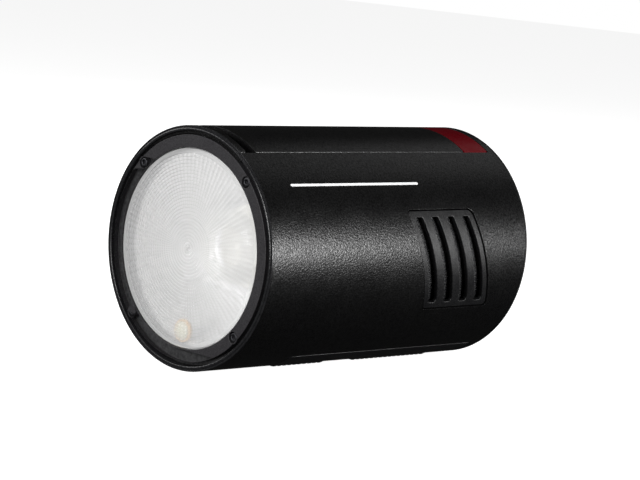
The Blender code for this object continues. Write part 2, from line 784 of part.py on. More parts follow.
def make_battery(contacts):
    """The pack that lifts out: curved cover, tray, two cells and the terminal plate."""
    pack = empty("battery_pack", AXIS, (0, (BATTERY_FROM + BATTERY_TO) / 2, TRAY_BOTTOM))
    back = -pack.location
    cover_inner = BODY_R - STRIP_WALL
    cover = prism(
        "battery_cover",
        arch(STRIP_HALF, cover_inner, BODY_R),
        BATTERY_FROM,
        BATTERY_TO - BATTERY_FROM,
        TEXTURED_BLACK,
        pack,
        back,
    )
    nose = prism(
        "cover_nose",
        arch(STRIP_HALF - 0.1 * MM, SLOT_FLOOR_R + 0.2 * MM, BODY_R - STRIP_WALL / 2),
        BATTERY_FROM + 0.05 * MM,
        STRIP_WALL,
        TEXTURED_BLACK,
        pack,
        back,
    )
    join(cover, nose)
    tray = box(
        "battery_tray",
        (-STRIP_HALF, TRAY_FROM, TRAY_BOTTOM),
        (STRIP_HALF, TRAY_TO, TRAY_TOP),
        INNER_PLASTIC,
        pack,
    )
    tray.location += back
    hollow = box(
        "tray_hollow_cut",
        (-STRIP_HALF + TRAY_WALL, TRAY_FROM + TRAY_WALL, TRAY_BOTTOM + TRAY_WALL),
        (STRIP_HALF - TRAY_WALL, TRAY_TO - TRAY_WALL, BODY_R),
        INNER_PLASTIC,
        pack,
    )
    hollow.location += back
    cut(tray, hollow)
    shelf_from = BATTERY_FROM + STRIP_WALL + 2 * GAP
    shelf_r = SLOT_FLOOR_R + 0.2 * MM
    shelf_profile = arch(SHELF_HALF, shelf_r, shelf_r + SHELF_THICK)
    wall_to = TRAY_FROM + TRAY_WALL
    shelf = prism("tray_shelf", shelf_profile, shelf_from, wall_to - shelf_from, INNER_PLASTIC, pack, back)
    join(tray, shelf)
    upright = prism(
        "tray_upright",
        curved_top(SHELF_HALF, shelf_r + SHELF_THICK / 2)
        + [(SHELF_HALF, TRAY_TOP - WALL), (-SHELF_HALF, TRAY_TOP - WALL)],
        TRAY_FROM,
        TRAY_WALL,
        INNER_PLASTIC,
        pack,
        back,
    )
    join(tray, upright)
    for side, label in ((-1, "left"), (1, "right")):
        start = TRAY_FROM + TRAY_WALL + GAP
        turned(
            f"cell_{label}",
            disc(CELL_R, start, start + CELL_LEN),
            CELL_BLUE,
            pack,
            back + Vector((side * CELL_X, 0, CELL_Z)),
            24,
        )
    half = CONTACT_HALF - TERMINAL_INSET
    plate_from, plate_to = contacts[0] + TERMINAL_INSET, contacts[1] - TERMINAL_INSET
    plate = box(
        "battery_terminals",
        (-half, plate_from, TRAY_BOTTOM),
        (half, plate_to, TRAY_BOTTOM + TERMINAL_THICK),
        BRASS,
        pack,
    )
    plate.location += back
    pocket = box(
        "terminal_pocket_cut",
        (-half - GAP, plate_from - GAP, TRAY_BOTTOM - WALL),
        (half + GAP, plate_to + GAP, TRAY_BOTTOM + TERMINAL_THICK + 0.2 * MM),
        BRASS,
        pack,
    )
    pocket.location += back
    cut(tray, pocket)


def make_latch():
    """Release tab in the finger slot; it slides forward against a coil spring."""
    thick = FINGER_SLOT - LATCH_TRAVEL - 2 * GAP - 0.15 * MM
    latch_to = BATTERY_FROM - GAP
    latch_from = latch_to - thick
    half = 8.0 * MM
    middle = (latch_from + latch_to) / 2
    prism(
        "battery_latch",
        arch(half, SLOT_FLOOR_R + GAP, BODY_R - 1.2 * MM, 6),
        -thick / 2,
        thick,
        SATIN_BLACK,
        empty("latch_slide", AXIS, (0, middle, 0)),
    )
    turns, coil_r, wire_r, points_per_turn = 2.5, 0.9 * MM, 0.16 * MM, 10
    start, end = BRIDGE_TO + wire_r + 0.12 * MM, latch_from - wire_r - 0.12 * MM
    count = int(turns * points_per_turn)
    curve = bpy.data.curves.new("latch_spring", "CURVE")
    curve.dimensions = "3D"
    curve.bevel_depth = wire_r
    curve.bevel_resolution = 0
    curve.use_fill_caps = True
    spline = curve.splines.new("POLY")
    spline.points.add(count)
    height = (SLOT_FLOOR_R + BODY_R) / 2
    for k, point in enumerate(spline.points):
        turn = math.tau * turns * k / count
        along = start + (end - start) * k / count
        point.co = (coil_r * math.cos(turn), along, height + coil_r * math.sin(turn), 1)
    curve.materials.append(SPRING_STEEL)
    spring = bpy.data.objects.new("latch_spring", curve)
    bpy.context.scene.collection.objects.link(spring)
    spring.parent = AXIS


# ---------------------------------------------------------------- electronics
def make_power_side():
    """Capacitors under the battery, and the board under them with its transformer and coil."""
    cap_from = REFLECTOR_TO + 6 * MM
    cap_x = CAP_R + CAP_SPACING
    cap_z = BAY_FLOOR - BAY_WALL - CAP_BELOW_BAY - CAP_R
    for side, label in ((-1, "left"), (1, "right")):
        turned(
            f"capacitor_{label}",
            disc(CAP_R, cap_from, cap_from + CAP_LEN),
            SLEEVE_GREY,
            AXIS,
            (side * cap_x, 0, cap_z),
            24,
        )
    board_top = cap_z - CAP_R - BOARD_BELOW_CAP
    box(
        "power_board",
        (-POWER_BOARD_HALF, cap_from, board_top - BOARD_THICK),
        (POWER_BOARD_HALF, BOARD_FROM - 1 * MM, board_top),
        BOARD_GREEN,
        AXIS,
    )
    under = board_top - BOARD_THICK - GAP
    wide, long, high = TRANSFORMER
    start = BUSH_FROM_FRONT + TRANSFORMER_BEHIND_BUSH
    box(
        "charge_transformer",
        (-wide / 2, start, under - high),
        (wide / 2, start + long, under),
        SLEEVE_GREY,
        AXIS,
    )
    coil_from = cap_from + 2 * MM
    turned(
        "trigger_coil",
        disc(COIL_R, coil_from, coil_from + COIL_LEN),
        CERAMIC_WHITE,
        AXIS,
        (0, 0, under - COIL_R),
        SMALL_STEPS,
    )


def make_ports():
    """Charging socket and sync jack behind the port opening, on their small board."""
    port_mid = PORT_FROM + PORT_LEN / 2
    board_x = -2 * CAP_R - CAP_SPACING - 2 * GAP
    margin = 1 * MM
    box(
        "port_board",
        (board_x - BOARD_THICK, PORT_FROM - margin, -PORT_HALF_HEIGHT - margin),
        (board_x, PORT_FROM + PORT_LEN + margin, PORT_HALF_HEIGHT + margin),
        BOARD_GREEN,
        AXIS,
    )
    back = board_x - BOARD_THICK - GAP
    face = -INNER_R + SOCKET_SET_BACK
    usb_mid = port_mid - USB_WIDE / 2 - GAP
    usb = box(
        "usb_socket",
        (face, usb_mid - USB_WIDE / 2, -USB_HIGH / 2),
        (back, usb_mid + USB_WIDE / 2, USB_HIGH / 2),
        BARE_ALUMINIUM,
        AXIS,
    )
    mouth = box(
        "usb_mouth_cut",
        (face - WALL, usb_mid - USB_WIDE / 2 + USB_WALL, -USB_HIGH / 2 + USB_WALL),
        (back - 4 * USB_WALL, usb_mid + USB_WIDE / 2 - USB_WALL, USB_HIGH / 2 - USB_WALL),
        BARE_ALUMINIUM,
        AXIS,
    )
    cut(usb, mouth)
    jack_mid = port_mid + JACK_WIDE / 2 + 6 * GAP
    jack = box(
        "sync_jack",
        (face, jack_mid - JACK_WIDE / 2, -JACK_WIDE / 2),
        (back, jack_mid + JACK_WIDE / 2, JACK_WIDE / 2),
        SLEEVE_GREY,
        AXIS,
    )
    bore = turned(
        "jack_bore_cut",
        disc(JACK_BORE_R, -WALL, (back - face) * 0.8),
        SLEEVE_GREY,
        AXIS,
        (face, jack_mid, 0),
        HOLE_STEPS,
        "Z",
    )
    bore.rotation_euler = (0, math.pi / 2, 0)
    cut(jack, bore)


def make_port_cover():
    """Rubber flap over the ports. Its origin is on its hinge line, at the opening's front edge."""
    hinge = empty("port_hinge", AXIS, (-BODY_R, PORT_FROM, 0))
    inner = INNER_R + 0.2 * MM
    height = PORT_HALF_HEIGHT - GAP
    turns = spaced(-math.asin(height / BODY_R), math.asin(height / BODY_R), 6)
    outside = [(-BODY_R * math.cos(turn), BODY_R * math.sin(turn)) for turn in turns]
    inside = [(-math.sqrt(inner**2 - z**2), z) for _, z in reversed(outside)]
    prism(
        "port_cover",
        outside + inside,
        PORT_FROM + GAP,
        PORT_LEN - 2 * GAP,
        RUBBER_BLACK,
        hinge,
        -hinge.location,
    )


# ---------------------------------------------------------------- rear panel
def make_rear_cover():
    """Rear panel, the frame it is screwed to, and everything that is cut through it."""
    edge = 0.3 * MM
    cover = turned(
        "rear_cover",
        [
            (0, PANEL_BACK),
            (INNER_R - GAP, PANEL_BACK),
            (INNER_R - GAP, BODY_LEN - PANEL_LIP),
            (BODY_R, BODY_LEN - PANEL_LIP),
            (BODY_R, BODY_LEN - edge),
            (BODY_R - edge, BODY_LEN),
            (0, BODY_LEN),
        ],
        SATIN_BLACK,
        AXIS,
    )
    frame_profile = ring(FRAME_INNER_R, INNER_R - GAP, FRAME_FROM, FRAME_TO)
    frame = turned("rear_frame", frame_profile, INNER_PLASTIC, AXIS)
    reach = BODY_LEN - FRAME_FROM - 2 * MM
    for number, angle in enumerate(REAR_SCREW_ANGLES, 1):
        x, z = on_circle(REAR_SCREW_CIRCLE, angle)
        head_at = BODY_LEN - 0.15 * MM
        screw(f"rear_screw_{number}", x, z, head_at, reach, -1)
        hole = screw_hole(f"rear_hole_{number}", x, z, head_at, reach, -1)
        cut(cover, hole)
        cut(frame, hole)
    through = (PANEL_BACK - WALL, BODY_LEN + WALL)
    for name, (x, z) in BUTTONS.items():
        hole = turned(
            f"{name}_hole_cut",
            disc(BUTTON_R + GAP, *through),
            SATIN_BLACK,
            AXIS,
            (x, 0, z),
            SMALL_STEPS,
        )
        cut(cover, hole)
    dial_hole = turned(
        "dial_hole_cut", disc(DIAL_HUB_R + GAP, *through), SATIN_BLACK, AXIS, (0, 0, DIAL_UP), 28
    )
    cut(cover, dial_hole)
    slot_half = SWITCH_WIDE / 2 + GAP
    switch_slot = box(
        "switch_slot_cut",
        (SWITCH_AT[0] - slot_half, through[0], SWITCH_AT[1] - SWITCH_HIGH / 2 - GAP),
        (SWITCH_AT[0] + slot_half, through[1], SWITCH_AT[1] + SWITCH_HIGH / 2 + SWITCH_TRAVEL + GAP),
        SATIN_BLACK,
        AXIS,
    )
    cut(cover, switch_slot)
    make_display(cover, through)


def make_display(cover, through):
    """Display window set flush in the panel, and the display behind it."""
    half_w, half_h = DISPLAY_WIDE / 2, DISPLAY_HIGH / 2
    window_back = BODY_LEN - 1.6 * MM
    pocket = box(
        "display_pocket_cut",
        (-half_w - GAP, window_back - GAP, DISPLAY_UP - half_h - GAP),
        (half_w + GAP, through[1], DISPLAY_UP + half_h + GAP),
        SATIN_BLACK,
        AXIS,
    )
    opening = box(
        "display_opening_cut",
        (-half_w + DISPLAY_LEDGE, through[0], DISPLAY_UP - half_h + DISPLAY_LEDGE),
        (half_w - DISPLAY_LEDGE, through[1], DISPLAY_UP + half_h - DISPLAY_LEDGE),
        SATIN_BLACK,
        AXIS,
    )
    cut(cover, pocket)
    cut(cover, opening)
    box(
        "display_window",
        (-half_w, window_back, DISPLAY_UP - half_h),
        (half_w, BODY_LEN - 0.1 * MM, DISPLAY_UP + half_h),
        DISPLAY_DARK,
        AXIS,
    )
    box(
        "display_module",
        (-half_w, FRAME_FROM + 1 * MM, DISPLAY_UP - half_h),
        (half_w, PANEL_BACK - 1 * MM, DISPLAY_UP + half_h),
        DISPLAY_DARK,
        AXIS,
    )
    turned("control_board", disc(INNER_R - 1 * MM, BOARD_FROM, BOARD_TO), BOARD_GREEN, AXIS, steps=32)


def make_dial():
    """Turning dial with a push button in its middle, over a ring encoder."""
    centre = empty("dial_axis", AXIS, (0, 0, DIAL_UP))
    snap = 1.2 * MM
    snap_to = PANEL_BACK - GAP
    snap_from = snap_to - 0.8 * MM
    hub_from = snap_from - 1.4 * MM
    bore = SET_R + GAP
    top = BODY_LEN + DIAL_RISE
    edge = 0.6 * MM
    turned(
        "control_dial",
        [
            (bore, hub_from),
            (DIAL_HUB_R, hub_from),
            (DIAL_HUB_R, snap_from),
            (DIAL_HUB_R + snap, snap_from),
            (DIAL_HUB_R + snap, snap_to),
            (DIAL_HUB_R, snap_to),
            (DIAL_HUB_R, BODY_LEN + GAP),
            (DIAL_R, BODY_LEN + GAP),
            (DIAL_R, top - edge),
            (DIAL_R - edge, top),
            (bore, top),
        ],
        SATIN_BLACK,
        centre,
        steps=36,
    )
    flange_to = hub_from - GAP
    flange_from = flange_to - 0.7 * MM
    flange_r = SET_R + 1.4 * MM
    set_top = top - 0.7 * MM
    turned(
        "set_button",
        [
            (0, flange_from),
            (flange_r, flange_from),
            (flange_r, flange_to),
            (SET_R, flange_to),
            (SET_R, set_top - 0.4 * MM),
            (SET_R - 0.4 * MM, set_top),
            (0, set_top),
        ],
        SATIN_BLACK,
        centre,
        steps=24,
    )
    encoder_to = hub_from - GAP
    turned(
        "dial_encoder",
        ring(flange_r + GAP, DIAL_HUB_R + snap, FRAME_FROM + GAP, encoder_to),
        SLEEVE_GREY,
        centre,
        steps=24,
    )


def make_buttons():
    """Five push buttons over one rubber membrane, and the sliding power switch."""
    flange_to = PANEL_BACK - GAP
    flange_from = flange_to - 0.7 * MM
    dome_top = flange_from - BUTTON_TRAVEL - 0.25 * MM
    membrane = None
    for name, (x, z) in BUTTONS.items():
        top = BODY_LEN + BUTTON_RISE
        profile = [
            (0, flange_from),
            (BUTTON_R + FLANGE, flange_from),
            (BUTTON_R + FLANGE, flange_to),
            (BUTTON_R, flange_to),
            (BUTTON_R, top - 0.4 * MM),
            (BUTTON_R - 0.4 * MM, top),
            (0, top),
        ]
        turned(name, profile, SATIN_BLACK, AXIS, (x, 0, z), SMALL_STEPS)
        if name == "test_button":
            continue
        dome = turned(
            f"{name}_dome",
            disc(2 * MM, FRAME_FROM + 0.2 * MM, dome_top),
            RUBBER_BLACK,
            AXIS,
            (x, 0, z),
            HOLE_STEPS,
        )
        if membrane is None:
            corner_r = FRAME_INNER_R - GAP
            arc = [on_circle(corner_r, angle) for angle in spaced(*MEMBRANE_ARC, 5)]
            side = [(arc[0][0], MEMBRANE_TOP), *arc]
            membrane = prism(
                "button_membrane",
                side + [(-x, z) for x, z in reversed(side)],
                FRAME_FROM + GAP,
                0.7 * MM,
                RUBBER_BLACK,
                AXIS,
            )
            encoder_room = turned(
                "encoder_room_cut",
                disc(DIAL_HUB_R + 1.8 * MM, 0, BODY_LEN),
                RUBBER_BLACK,
                AXIS,
                (0, 0, DIAL_UP),
                SMALL_STEPS,
            )
            cut(membrane, encoder_room)
        join(membrane, dome)
    x, z = SWITCH_AT
    half_w, half_h = SWITCH_WIDE / 2, SWITCH_HIGH / 2
    track = empty("switch_track", AXIS, (x, 0, z))
    knob = box(
        "power_switch",
        (-half_w, flange_from, -half_h),
        (half_w, BODY_LEN + 1.1 * MM, half_h),
        SATIN_BLACK,
        track,
    )
    plate = box(
        "switch_plate",
        (-half_w - 1 * MM, flange_from - 0.05 * MM, -half_h - 1 * MM),
        (half_w + 1 * MM, flange_to, half_h + 1 * MM),
        SATIN_BLACK,
        track,
    )
    join(knob, plate)


make_front_rim()
make_bezel_and_carrier()
make_lens_and_gasket()
make_reflector()
make_flash_tube()
make_modelling_lamp()
make_housing()
make_base()
make_top_strip()
make_battery(make_battery_bay())
make_latch()
make_power_side()
make_ports()
make_port_cover()
make_rear_cover()
make_dial()
make_buttons()
bpy.context.view_layer.update()
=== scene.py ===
# %% [markdown]
# # A pocket monolight strobe, dressed for its portrait
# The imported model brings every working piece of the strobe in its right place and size. This notebook gives
# the pieces their looks: rounded edges, moulded grain, glass, rings, knurling and light. Nothing that moves
# is shifted, so every joint still works when the strobe is posed.

import math

import bmesh
import bpy
import numpy as np
from mathutils import Matrix, Vector


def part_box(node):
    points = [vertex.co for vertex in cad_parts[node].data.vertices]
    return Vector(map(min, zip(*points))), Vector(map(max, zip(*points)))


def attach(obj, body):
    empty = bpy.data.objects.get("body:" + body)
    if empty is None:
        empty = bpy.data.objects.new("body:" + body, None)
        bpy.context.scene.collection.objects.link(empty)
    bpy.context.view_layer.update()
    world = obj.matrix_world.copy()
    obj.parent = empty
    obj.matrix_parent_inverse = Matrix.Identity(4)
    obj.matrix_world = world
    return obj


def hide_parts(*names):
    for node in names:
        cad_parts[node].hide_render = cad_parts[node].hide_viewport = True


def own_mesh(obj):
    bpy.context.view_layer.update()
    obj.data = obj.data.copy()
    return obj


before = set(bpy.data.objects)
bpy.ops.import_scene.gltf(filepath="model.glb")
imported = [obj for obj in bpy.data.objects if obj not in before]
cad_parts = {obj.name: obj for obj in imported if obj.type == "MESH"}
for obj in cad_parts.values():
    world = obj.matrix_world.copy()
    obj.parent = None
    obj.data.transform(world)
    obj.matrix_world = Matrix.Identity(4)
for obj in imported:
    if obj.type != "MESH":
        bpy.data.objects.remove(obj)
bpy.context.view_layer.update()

# %% [markdown]
# ## Where things are
# A round body is easiest to describe from its own axis: how far behind the front plane, how far from the
# axis and at which angle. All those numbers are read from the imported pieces, so the looks always fit the
# model.

# %% Read the main sizes
MM = 0.001
body_low, body_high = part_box("rear_cover")
AXIS_Z = (body_low.z + body_high.z) / 2
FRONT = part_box("front_rim")[0].y
BODY_R = (body_high.z - body_low.z) / 2
CENTRE = Vector((0, FRONT, AXIS_Z))


def depth(node, end=1):
    """How far behind the front plane a node starts (0) or ends (1)."""
    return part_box(node)[end].y - FRONT


def reach(node):
    """A round node's outside radius, for a node that is centred on the optical axis."""
    low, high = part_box(node)
    return (high.x - low.x) / 2


def whole(node):
    """The two depths between which a node lies."""
    return depth(node, 0), depth(node)


def face_on(node):
    """A node seen from the front: its middle as (x, height above the axis), and its width and height."""
    low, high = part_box(node)
    return ((low.x + high.x) / 2, (low.z + high.z) / 2 - AXIS_Z), (high.x - low.x, high.z - low.z)


def offsets(radius, height, steps):
    """Profile points, each given in millimetres from one radius and one height."""
    return [(radius + out * MM, height + up * MM) for out, up in steps]


BODY_LEN = depth("rear_cover")
WALL = 2.0 * MM
GAP = 0.3 * MM
print(f"body {BODY_LEN / MM:.1f} mm long, {2 * BODY_R / MM:.1f} mm across")

# %% [markdown]
# ## The camera
# A long lens from the front right, slightly above, is how such a product is usually shown: a long lens
# keeps the round body's sides nearly parallel. The camera is aimed at the middle of the body, then rolled a
# little, which tips the body's axis in the frame.

# %% Aim the camera
CAMERA_AZIMUTH, CAMERA_ELEVATION = 44.94, 7.09
CAMERA_DISTANCE = 0.8102
CAMERA_ROLL = math.radians(4.98)
LENS_MM = 140.7

aim = Vector((-0.0004, FRONT + 0.0578, AXIS_Z + 0.0011))


def direction(azimuth, elevation):
    """A unit vector in degrees: azimuth 0 points out in front of the lens, 90 to its +X side."""
    turn, rise = math.radians(azimuth), math.radians(elevation)
    return Vector((math.sin(turn) * math.cos(rise), -math.cos(turn) * math.cos(rise), math.sin(rise)))


backwards = direction(CAMERA_AZIMUTH, CAMERA_ELEVATION)
camera_data = bpy.data.cameras.new("portrait_camera")
camera_data.lens = LENS_MM
camera_data.clip_start = 0.01
camera = bpy.data.objects.new("portrait_camera", camera_data)
bpy.context.scene.collection.objects.link(camera)
level = (-backwards).to_track_quat("-Z", "Y").to_matrix()
rolled = (level @ Matrix.Rotation(CAMERA_ROLL, 3, "Z")).to_4x4()
camera.matrix_world = Matrix.Translation(aim + backwards * CAMERA_DISTANCE) @ rolled
bpy.context.scene.camera = camera
print("camera at", [round(v, 3) for v in camera.location])

# %% [markdown]
# ## Floor and light
# Black plastic shows its shape only by what it reflects, so the lights matter more than the colour. One
# long, low softbox beside and behind draws the broad highlight along the side. A second in front fills the
# lens. Weaker ones keep the other sides readable. The floor is plain and pale, and the surroundings look
# white to the camera but light almost nothing.

# %% Lay the floor and hang the softboxes
FLOOR_HALF = 3.0
floor_corners = [(x * FLOOR_HALF, y * FLOOR_HALF, 0) for x, y in ((-1, -1), (1, -1), (1, 1), (-1, 1))]
floor_mesh = bpy.data.meshes.new("floor")
floor_mesh.from_pydata(floor_corners, [], [(0, 1, 2, 3)])
floor = bpy.data.objects.new("floor", floor_mesh)
bpy.context.scene.collection.objects.link(floor)
floor.visible_glossy = False
floor.visible_diffuse = False

floor_paint = bpy.data.materials.new("pale_floor")
floor_paint.use_nodes = True
floor_shader = floor_paint.node_tree.nodes["Principled BSDF"]
FLOOR_LOOK = {
    "Base Color": (0.9, 0.9, 0.9, 1), "Roughness": 0.9,
    "Emission Color": (1, 1, 1, 1), "Emission Strength": 0.9,
}
for socket, number in FLOOR_LOOK.items():
    floor_shader.inputs[socket].default_value = number
floor_mesh.materials.append(floor_paint)


def softbox(name, azimuth, elevation, distance, width, height, power):
    """A rectangular light of so many watts, aimed at the middle of the body."""
    data = bpy.data.lights.new(name, "AREA")
    data.shape = "RECTANGLE"
    data.size = width
    data.size_y = height
    data.energy = power
    light = bpy.data.objects.new(name, data)
    bpy.context.scene.collection.objects.link(light)
    away = direction(azimuth, elevation)
    light.location = aim + away * distance
    light.rotation_euler = (-away).to_track_quat("-Z", "Y").to_euler()
    light.visible_camera = False


SOFTBOXES = {
    "side_softbox": (115, 4, 1.0, 0.46, 0.2, 11.5),
    "front_softbox": (12, 14, 0.9, 0.5, 0.5, 8.8),
    "left_softbox": (-48, 20, 1.1, 0.7, 0.4, 2.6),
    "back_softbox": (185, 40, 1.1, 0.6, 0.4, 0.3),
    "top_softbox": (0, 80, 1.2, 0.5, 0.5, 2.0),
    "rear_softbox": (182, 2, 0.9, 0.7, 0.25, 2.2),
    "far_side_softbox": (266, 22, 1.0, 0.7, 0.4, 3.0),
}
for name, settings in SOFTBOXES.items():
    softbox(name, *settings)

world = bpy.data.worlds.new("studio")
world.use_nodes = True
bpy.context.scene.world = world
sky = world.node_tree.nodes["Background"]
seen = world.node_tree.nodes.new("ShaderNodeBackground")
choose = world.node_tree.nodes.new("ShaderNodeMixShader")
ray = world.node_tree.nodes.new("ShaderNodeLightPath")
sky.inputs["Color"].default_value = (0.012, 0.012, 0.012, 1)
seen.inputs["Color"].default_value = (1, 1, 1, 1)
wires = (
    (ray.outputs["Is Camera Ray"], choose.inputs["Fac"]),
    (sky.outputs[0], choose.inputs[1]),
    (seen.outputs[0], choose.inputs[2]),
    (choose.outputs[0], world.node_tree.nodes["World Output"].inputs["Surface"]),
)
for start, end in wires:
    world.node_tree.links.new(start, end)
bpy.context.scene.view_settings.view_transform = "Standard"
print("lights:", list(SOFTBOXES))

# %% [markdown]
# ## Finishes
# Every finish here is made from nodes, in metres, so a grain of half a millimetre is half a millimetre on
# every piece. Moulded plastic gets its life from two things: a grain that breaks up the reflection, and a
# gloss that wanders a little.

# %% A small kit for finishes
def new_finish(name, colour, roughness, metallic=0.0):
    """A material with its plain values set. Returns the material, its node tree and its shader."""
    material = bpy.data.materials.new(name)
    material.use_nodes = True
    tree = material.node_tree
    shader = tree.nodes["Principled BSDF"]
    shader.inputs["Base Color"].default_value = (*colour, 1)
    shader.inputs["Roughness"].default_value = roughness
    shader.inputs["Metallic"].default_value = metallic
    return material, tree, shader


def add_node(tree, kind, settings=None, **values):
    """Adds one node; settings are its own properties and values are its sockets, by name."""
    made = tree.nodes.new(kind)
    for key, value in (settings or {}).items():
        setattr(made, key, value)
    for key, value in values.items():
        made.inputs[key.replace("_", " ")].default_value = value
    return made


def place(tree):
    """The piece's own coordinates, in metres."""
    return add_node(tree, "ShaderNodeTexCoord").outputs["Object"]


def noise(tree, size, detail=2.0, distortion=0.0):
    """A cloudy value whose blobs are about this size, in metres."""
    made = add_node(tree, "ShaderNodeTexNoise", Scale=1 / size, Detail=detail, Distortion=distortion)
    tree.links.new(place(tree), made.inputs["Vector"])
    return made.outputs["Fac"]


def spread(tree, value, low, high):
    """Maps the usual range of a noise, 0.3 to 0.7, to numbers from low to high."""
    made = add_node(tree, "ShaderNodeMapRange", From_Min=0.3, From_Max=0.7, To_Min=low, To_Max=high)
    tree.links.new(value, made.inputs["Value"])
    return made.outputs["Result"]


def tint(tree, value, colours):
    """Runs a value through a row of (position, colour) stops."""
    ramp = add_node(tree, "ShaderNodeValToRGB")
    stops = ramp.color_ramp.elements
    while len(stops) < len(colours):
        stops.new(0.5)
    for stop, (position, colour) in zip(stops, colours):
        stop.position = position
        stop.color = (*colour, 1)
    tree.links.new(value, ramp.inputs["Fac"])
    return ramp.outputs["Color"]


def emboss(tree, shader, height, depth_m, under=None):
    """Raises the surface by a height value; under is an earlier relief to add to."""
    bump = add_node(tree, "ShaderNodeBump", Strength=1.0, Distance=depth_m)
    tree.links.new(height, bump.inputs["Height"])
    if under is not None:
        tree.links.new(under, bump.inputs["Normal"])
    tree.links.new(bump.outputs["Normal"], shader.inputs["Normal"])
    return bump.outputs["Normal"]


# %% [markdown]
# ### Moulded plastics
# A grained mould leaves tiny rounded pits, which Voronoi cells imitate well. The pits also glint unevenly,
# so how much they reflect varies at the same size. A noise at a larger scale lets the gloss wander, as it
# does where hands have been. Satin and smooth plastics use the same recipe with a finer and shallower
# grain.

# %% Make the plastics
def moulded(name, colour, roughness, grain, relief, wander=0.06):
    """Moulded plastic: grain is the size of its pits and relief their depth, both in metres."""
    material, tree, shader = new_finish(name, colour, roughness)
    pits = add_node(tree, "ShaderNodeTexVoronoi", {"feature": "SMOOTH_F1"}, Scale=1 / grain, Smoothness=0.6)
    tree.links.new(place(tree), pits.inputs["Vector"])
    first = emboss(tree, shader, pits.outputs["Distance"], relief)
    emboss(tree, shader, noise(tree, grain * 0.45, 3.0), relief * 0.5, first)
    patches = noise(tree, 9 * MM, 3.0)
    tree.links.new(spread(tree, patches, roughness - wander, roughness + wander), shader.inputs["Roughness"])
    pale = tuple(channel * 1.35 for channel in colour)
    dark = tuple(channel * 0.75 for channel in colour)
    shades = tint(tree, noise(tree, 3 * grain), [(0.3, dark), (0.7, pale)])
    tree.links.new(shades, shader.inputs["Base Color"])
    glints = spread(tree, noise(tree, 1.1 * grain, 1.0), 0.14, 0.54)
    tree.links.new(glints, shader.inputs["Specular IOR Level"])
    return material


HOUSING = moulded("grained_housing_plastic", (0.0025, 0.0025, 0.0026), 0.31, 0.5 * MM, 0.045 * MM, 0.025)
RIM = moulded("smooth_rim_plastic", (0.012, 0.012, 0.013), 0.24, 0.4 * MM, 0.004 * MM, 0.04)
BEZEL = moulded("satin_bezel_plastic", (0.02, 0.019, 0.021), 0.5, 0.25 * MM, 0.02 * MM)
GRILLE = moulded("satin_grille_plastic", (0.004, 0.004, 0.0045), 0.42, 0.3 * MM, 0.02 * MM)
PANEL = moulded("satin_panel_plastic", (0.012, 0.012, 0.013), 0.46, 0.3 * MM, 0.025 * MM)
BUTTON = moulded("soft_button_plastic", (0.03, 0.03, 0.033), 0.4, 0.2 * MM, 0.012 * MM)
INNER = moulded("plain_inner_plastic", (0.02, 0.02, 0.021), 0.6, 0.8 * MM, 0.02 * MM)
SCREEN = moulded("dust_screen_mesh", (0.012, 0.012, 0.013), 0.45, 0.55 * MM, 0.25 * MM)
RUBBER = moulded("matte_rubber", (0.014, 0.014, 0.015), 0.72, 0.2 * MM, 0.02 * MM)
print("plastics:", [m.name for m in bpy.data.materials if "plastic" in m.name])

# %% [markdown]
# ### Clear and coloured plastics
# The lens is clear but ringed, so it looks milky from a distance: a third of its light comes from the rings
# themselves, and the rest from the silver bowl behind. A partly see-through surface gives both without the
# noise of true refraction. The red window is dyed so deeply that its sensor barely shows.

# %% Make the clear finishes
def clear(name, colour, roughness, alpha, coat=0.0, shine=0.5):
    """See-through plastic or glass; shine is how strongly its surface reflects, 0.5 being usual."""
    material, tree, shader = new_finish(name, colour, roughness)
    shader.inputs["Alpha"].default_value = alpha
    shader.inputs["Coat Weight"].default_value = coat
    shader.inputs["Coat Roughness"].default_value = 0.05
    shader.inputs["Specular IOR Level"].default_value = shine
    haze = noise(tree, 6 * MM, 3.0)
    tree.links.new(spread(tree, haze, roughness * 0.8, roughness * 1.25), shader.inputs["Roughness"])
    return material


LENS = clear("ringed_lens_plastic", (0.88, 0.88, 0.88), 0.16, 0.32, shine=0.8)
WINDOW = clear("red_window_plastic", (0.1, 0.0006, 0.0035), 0.3, 0.95, shine=0.08)
TUBE = clear("flash_tube_glass", (0.92, 0.92, 0.88), 0.06, 0.45, 1.0)
DOME = clear("lamp_dome_resin", (0.95, 0.95, 0.7), 0.12, 0.72, 1.0)
SMOKED = clear("smoked_display_glass", (0.01, 0.011, 0.012), 0.07, 0.55, 1.0)

# %% [markdown]
# ### Metals, sleeves and boards
# These sit inside and show through the lens, the vents and the battery well. Turned metal gets fine
# streaks, the boards get a green mask with copper showing faintly beneath, and the sleeves a slight
# orange-peel.

# %% Make the metals and the inner finishes
def metal(name, colour, roughness, streak):
    """Metal with fine marks of this size."""
    material, tree, shader = new_finish(name, colour, roughness, 1.0)
    marks = noise(tree, streak, 4.0, 0.3)
    tree.links.new(spread(tree, marks, roughness * 0.7, roughness * 1.4), shader.inputs["Roughness"])
    emboss(tree, shader, marks, 0.004 * MM)
    return material


def sleeve(name, colour, roughness=0.35):
    """A shrunk sleeve or a plain moulded body, slightly uneven."""
    material, tree, shader = new_finish(name, colour, roughness)
    peel = noise(tree, 1.6 * MM, 2.0)
    emboss(tree, shader, peel, 0.05 * MM)
    pale = tuple(min(1, channel * 1.25) for channel in colour)
    tree.links.new(tint(tree, peel, [(0.25, colour), (0.75, pale)]), shader.inputs["Base Color"])
    return material


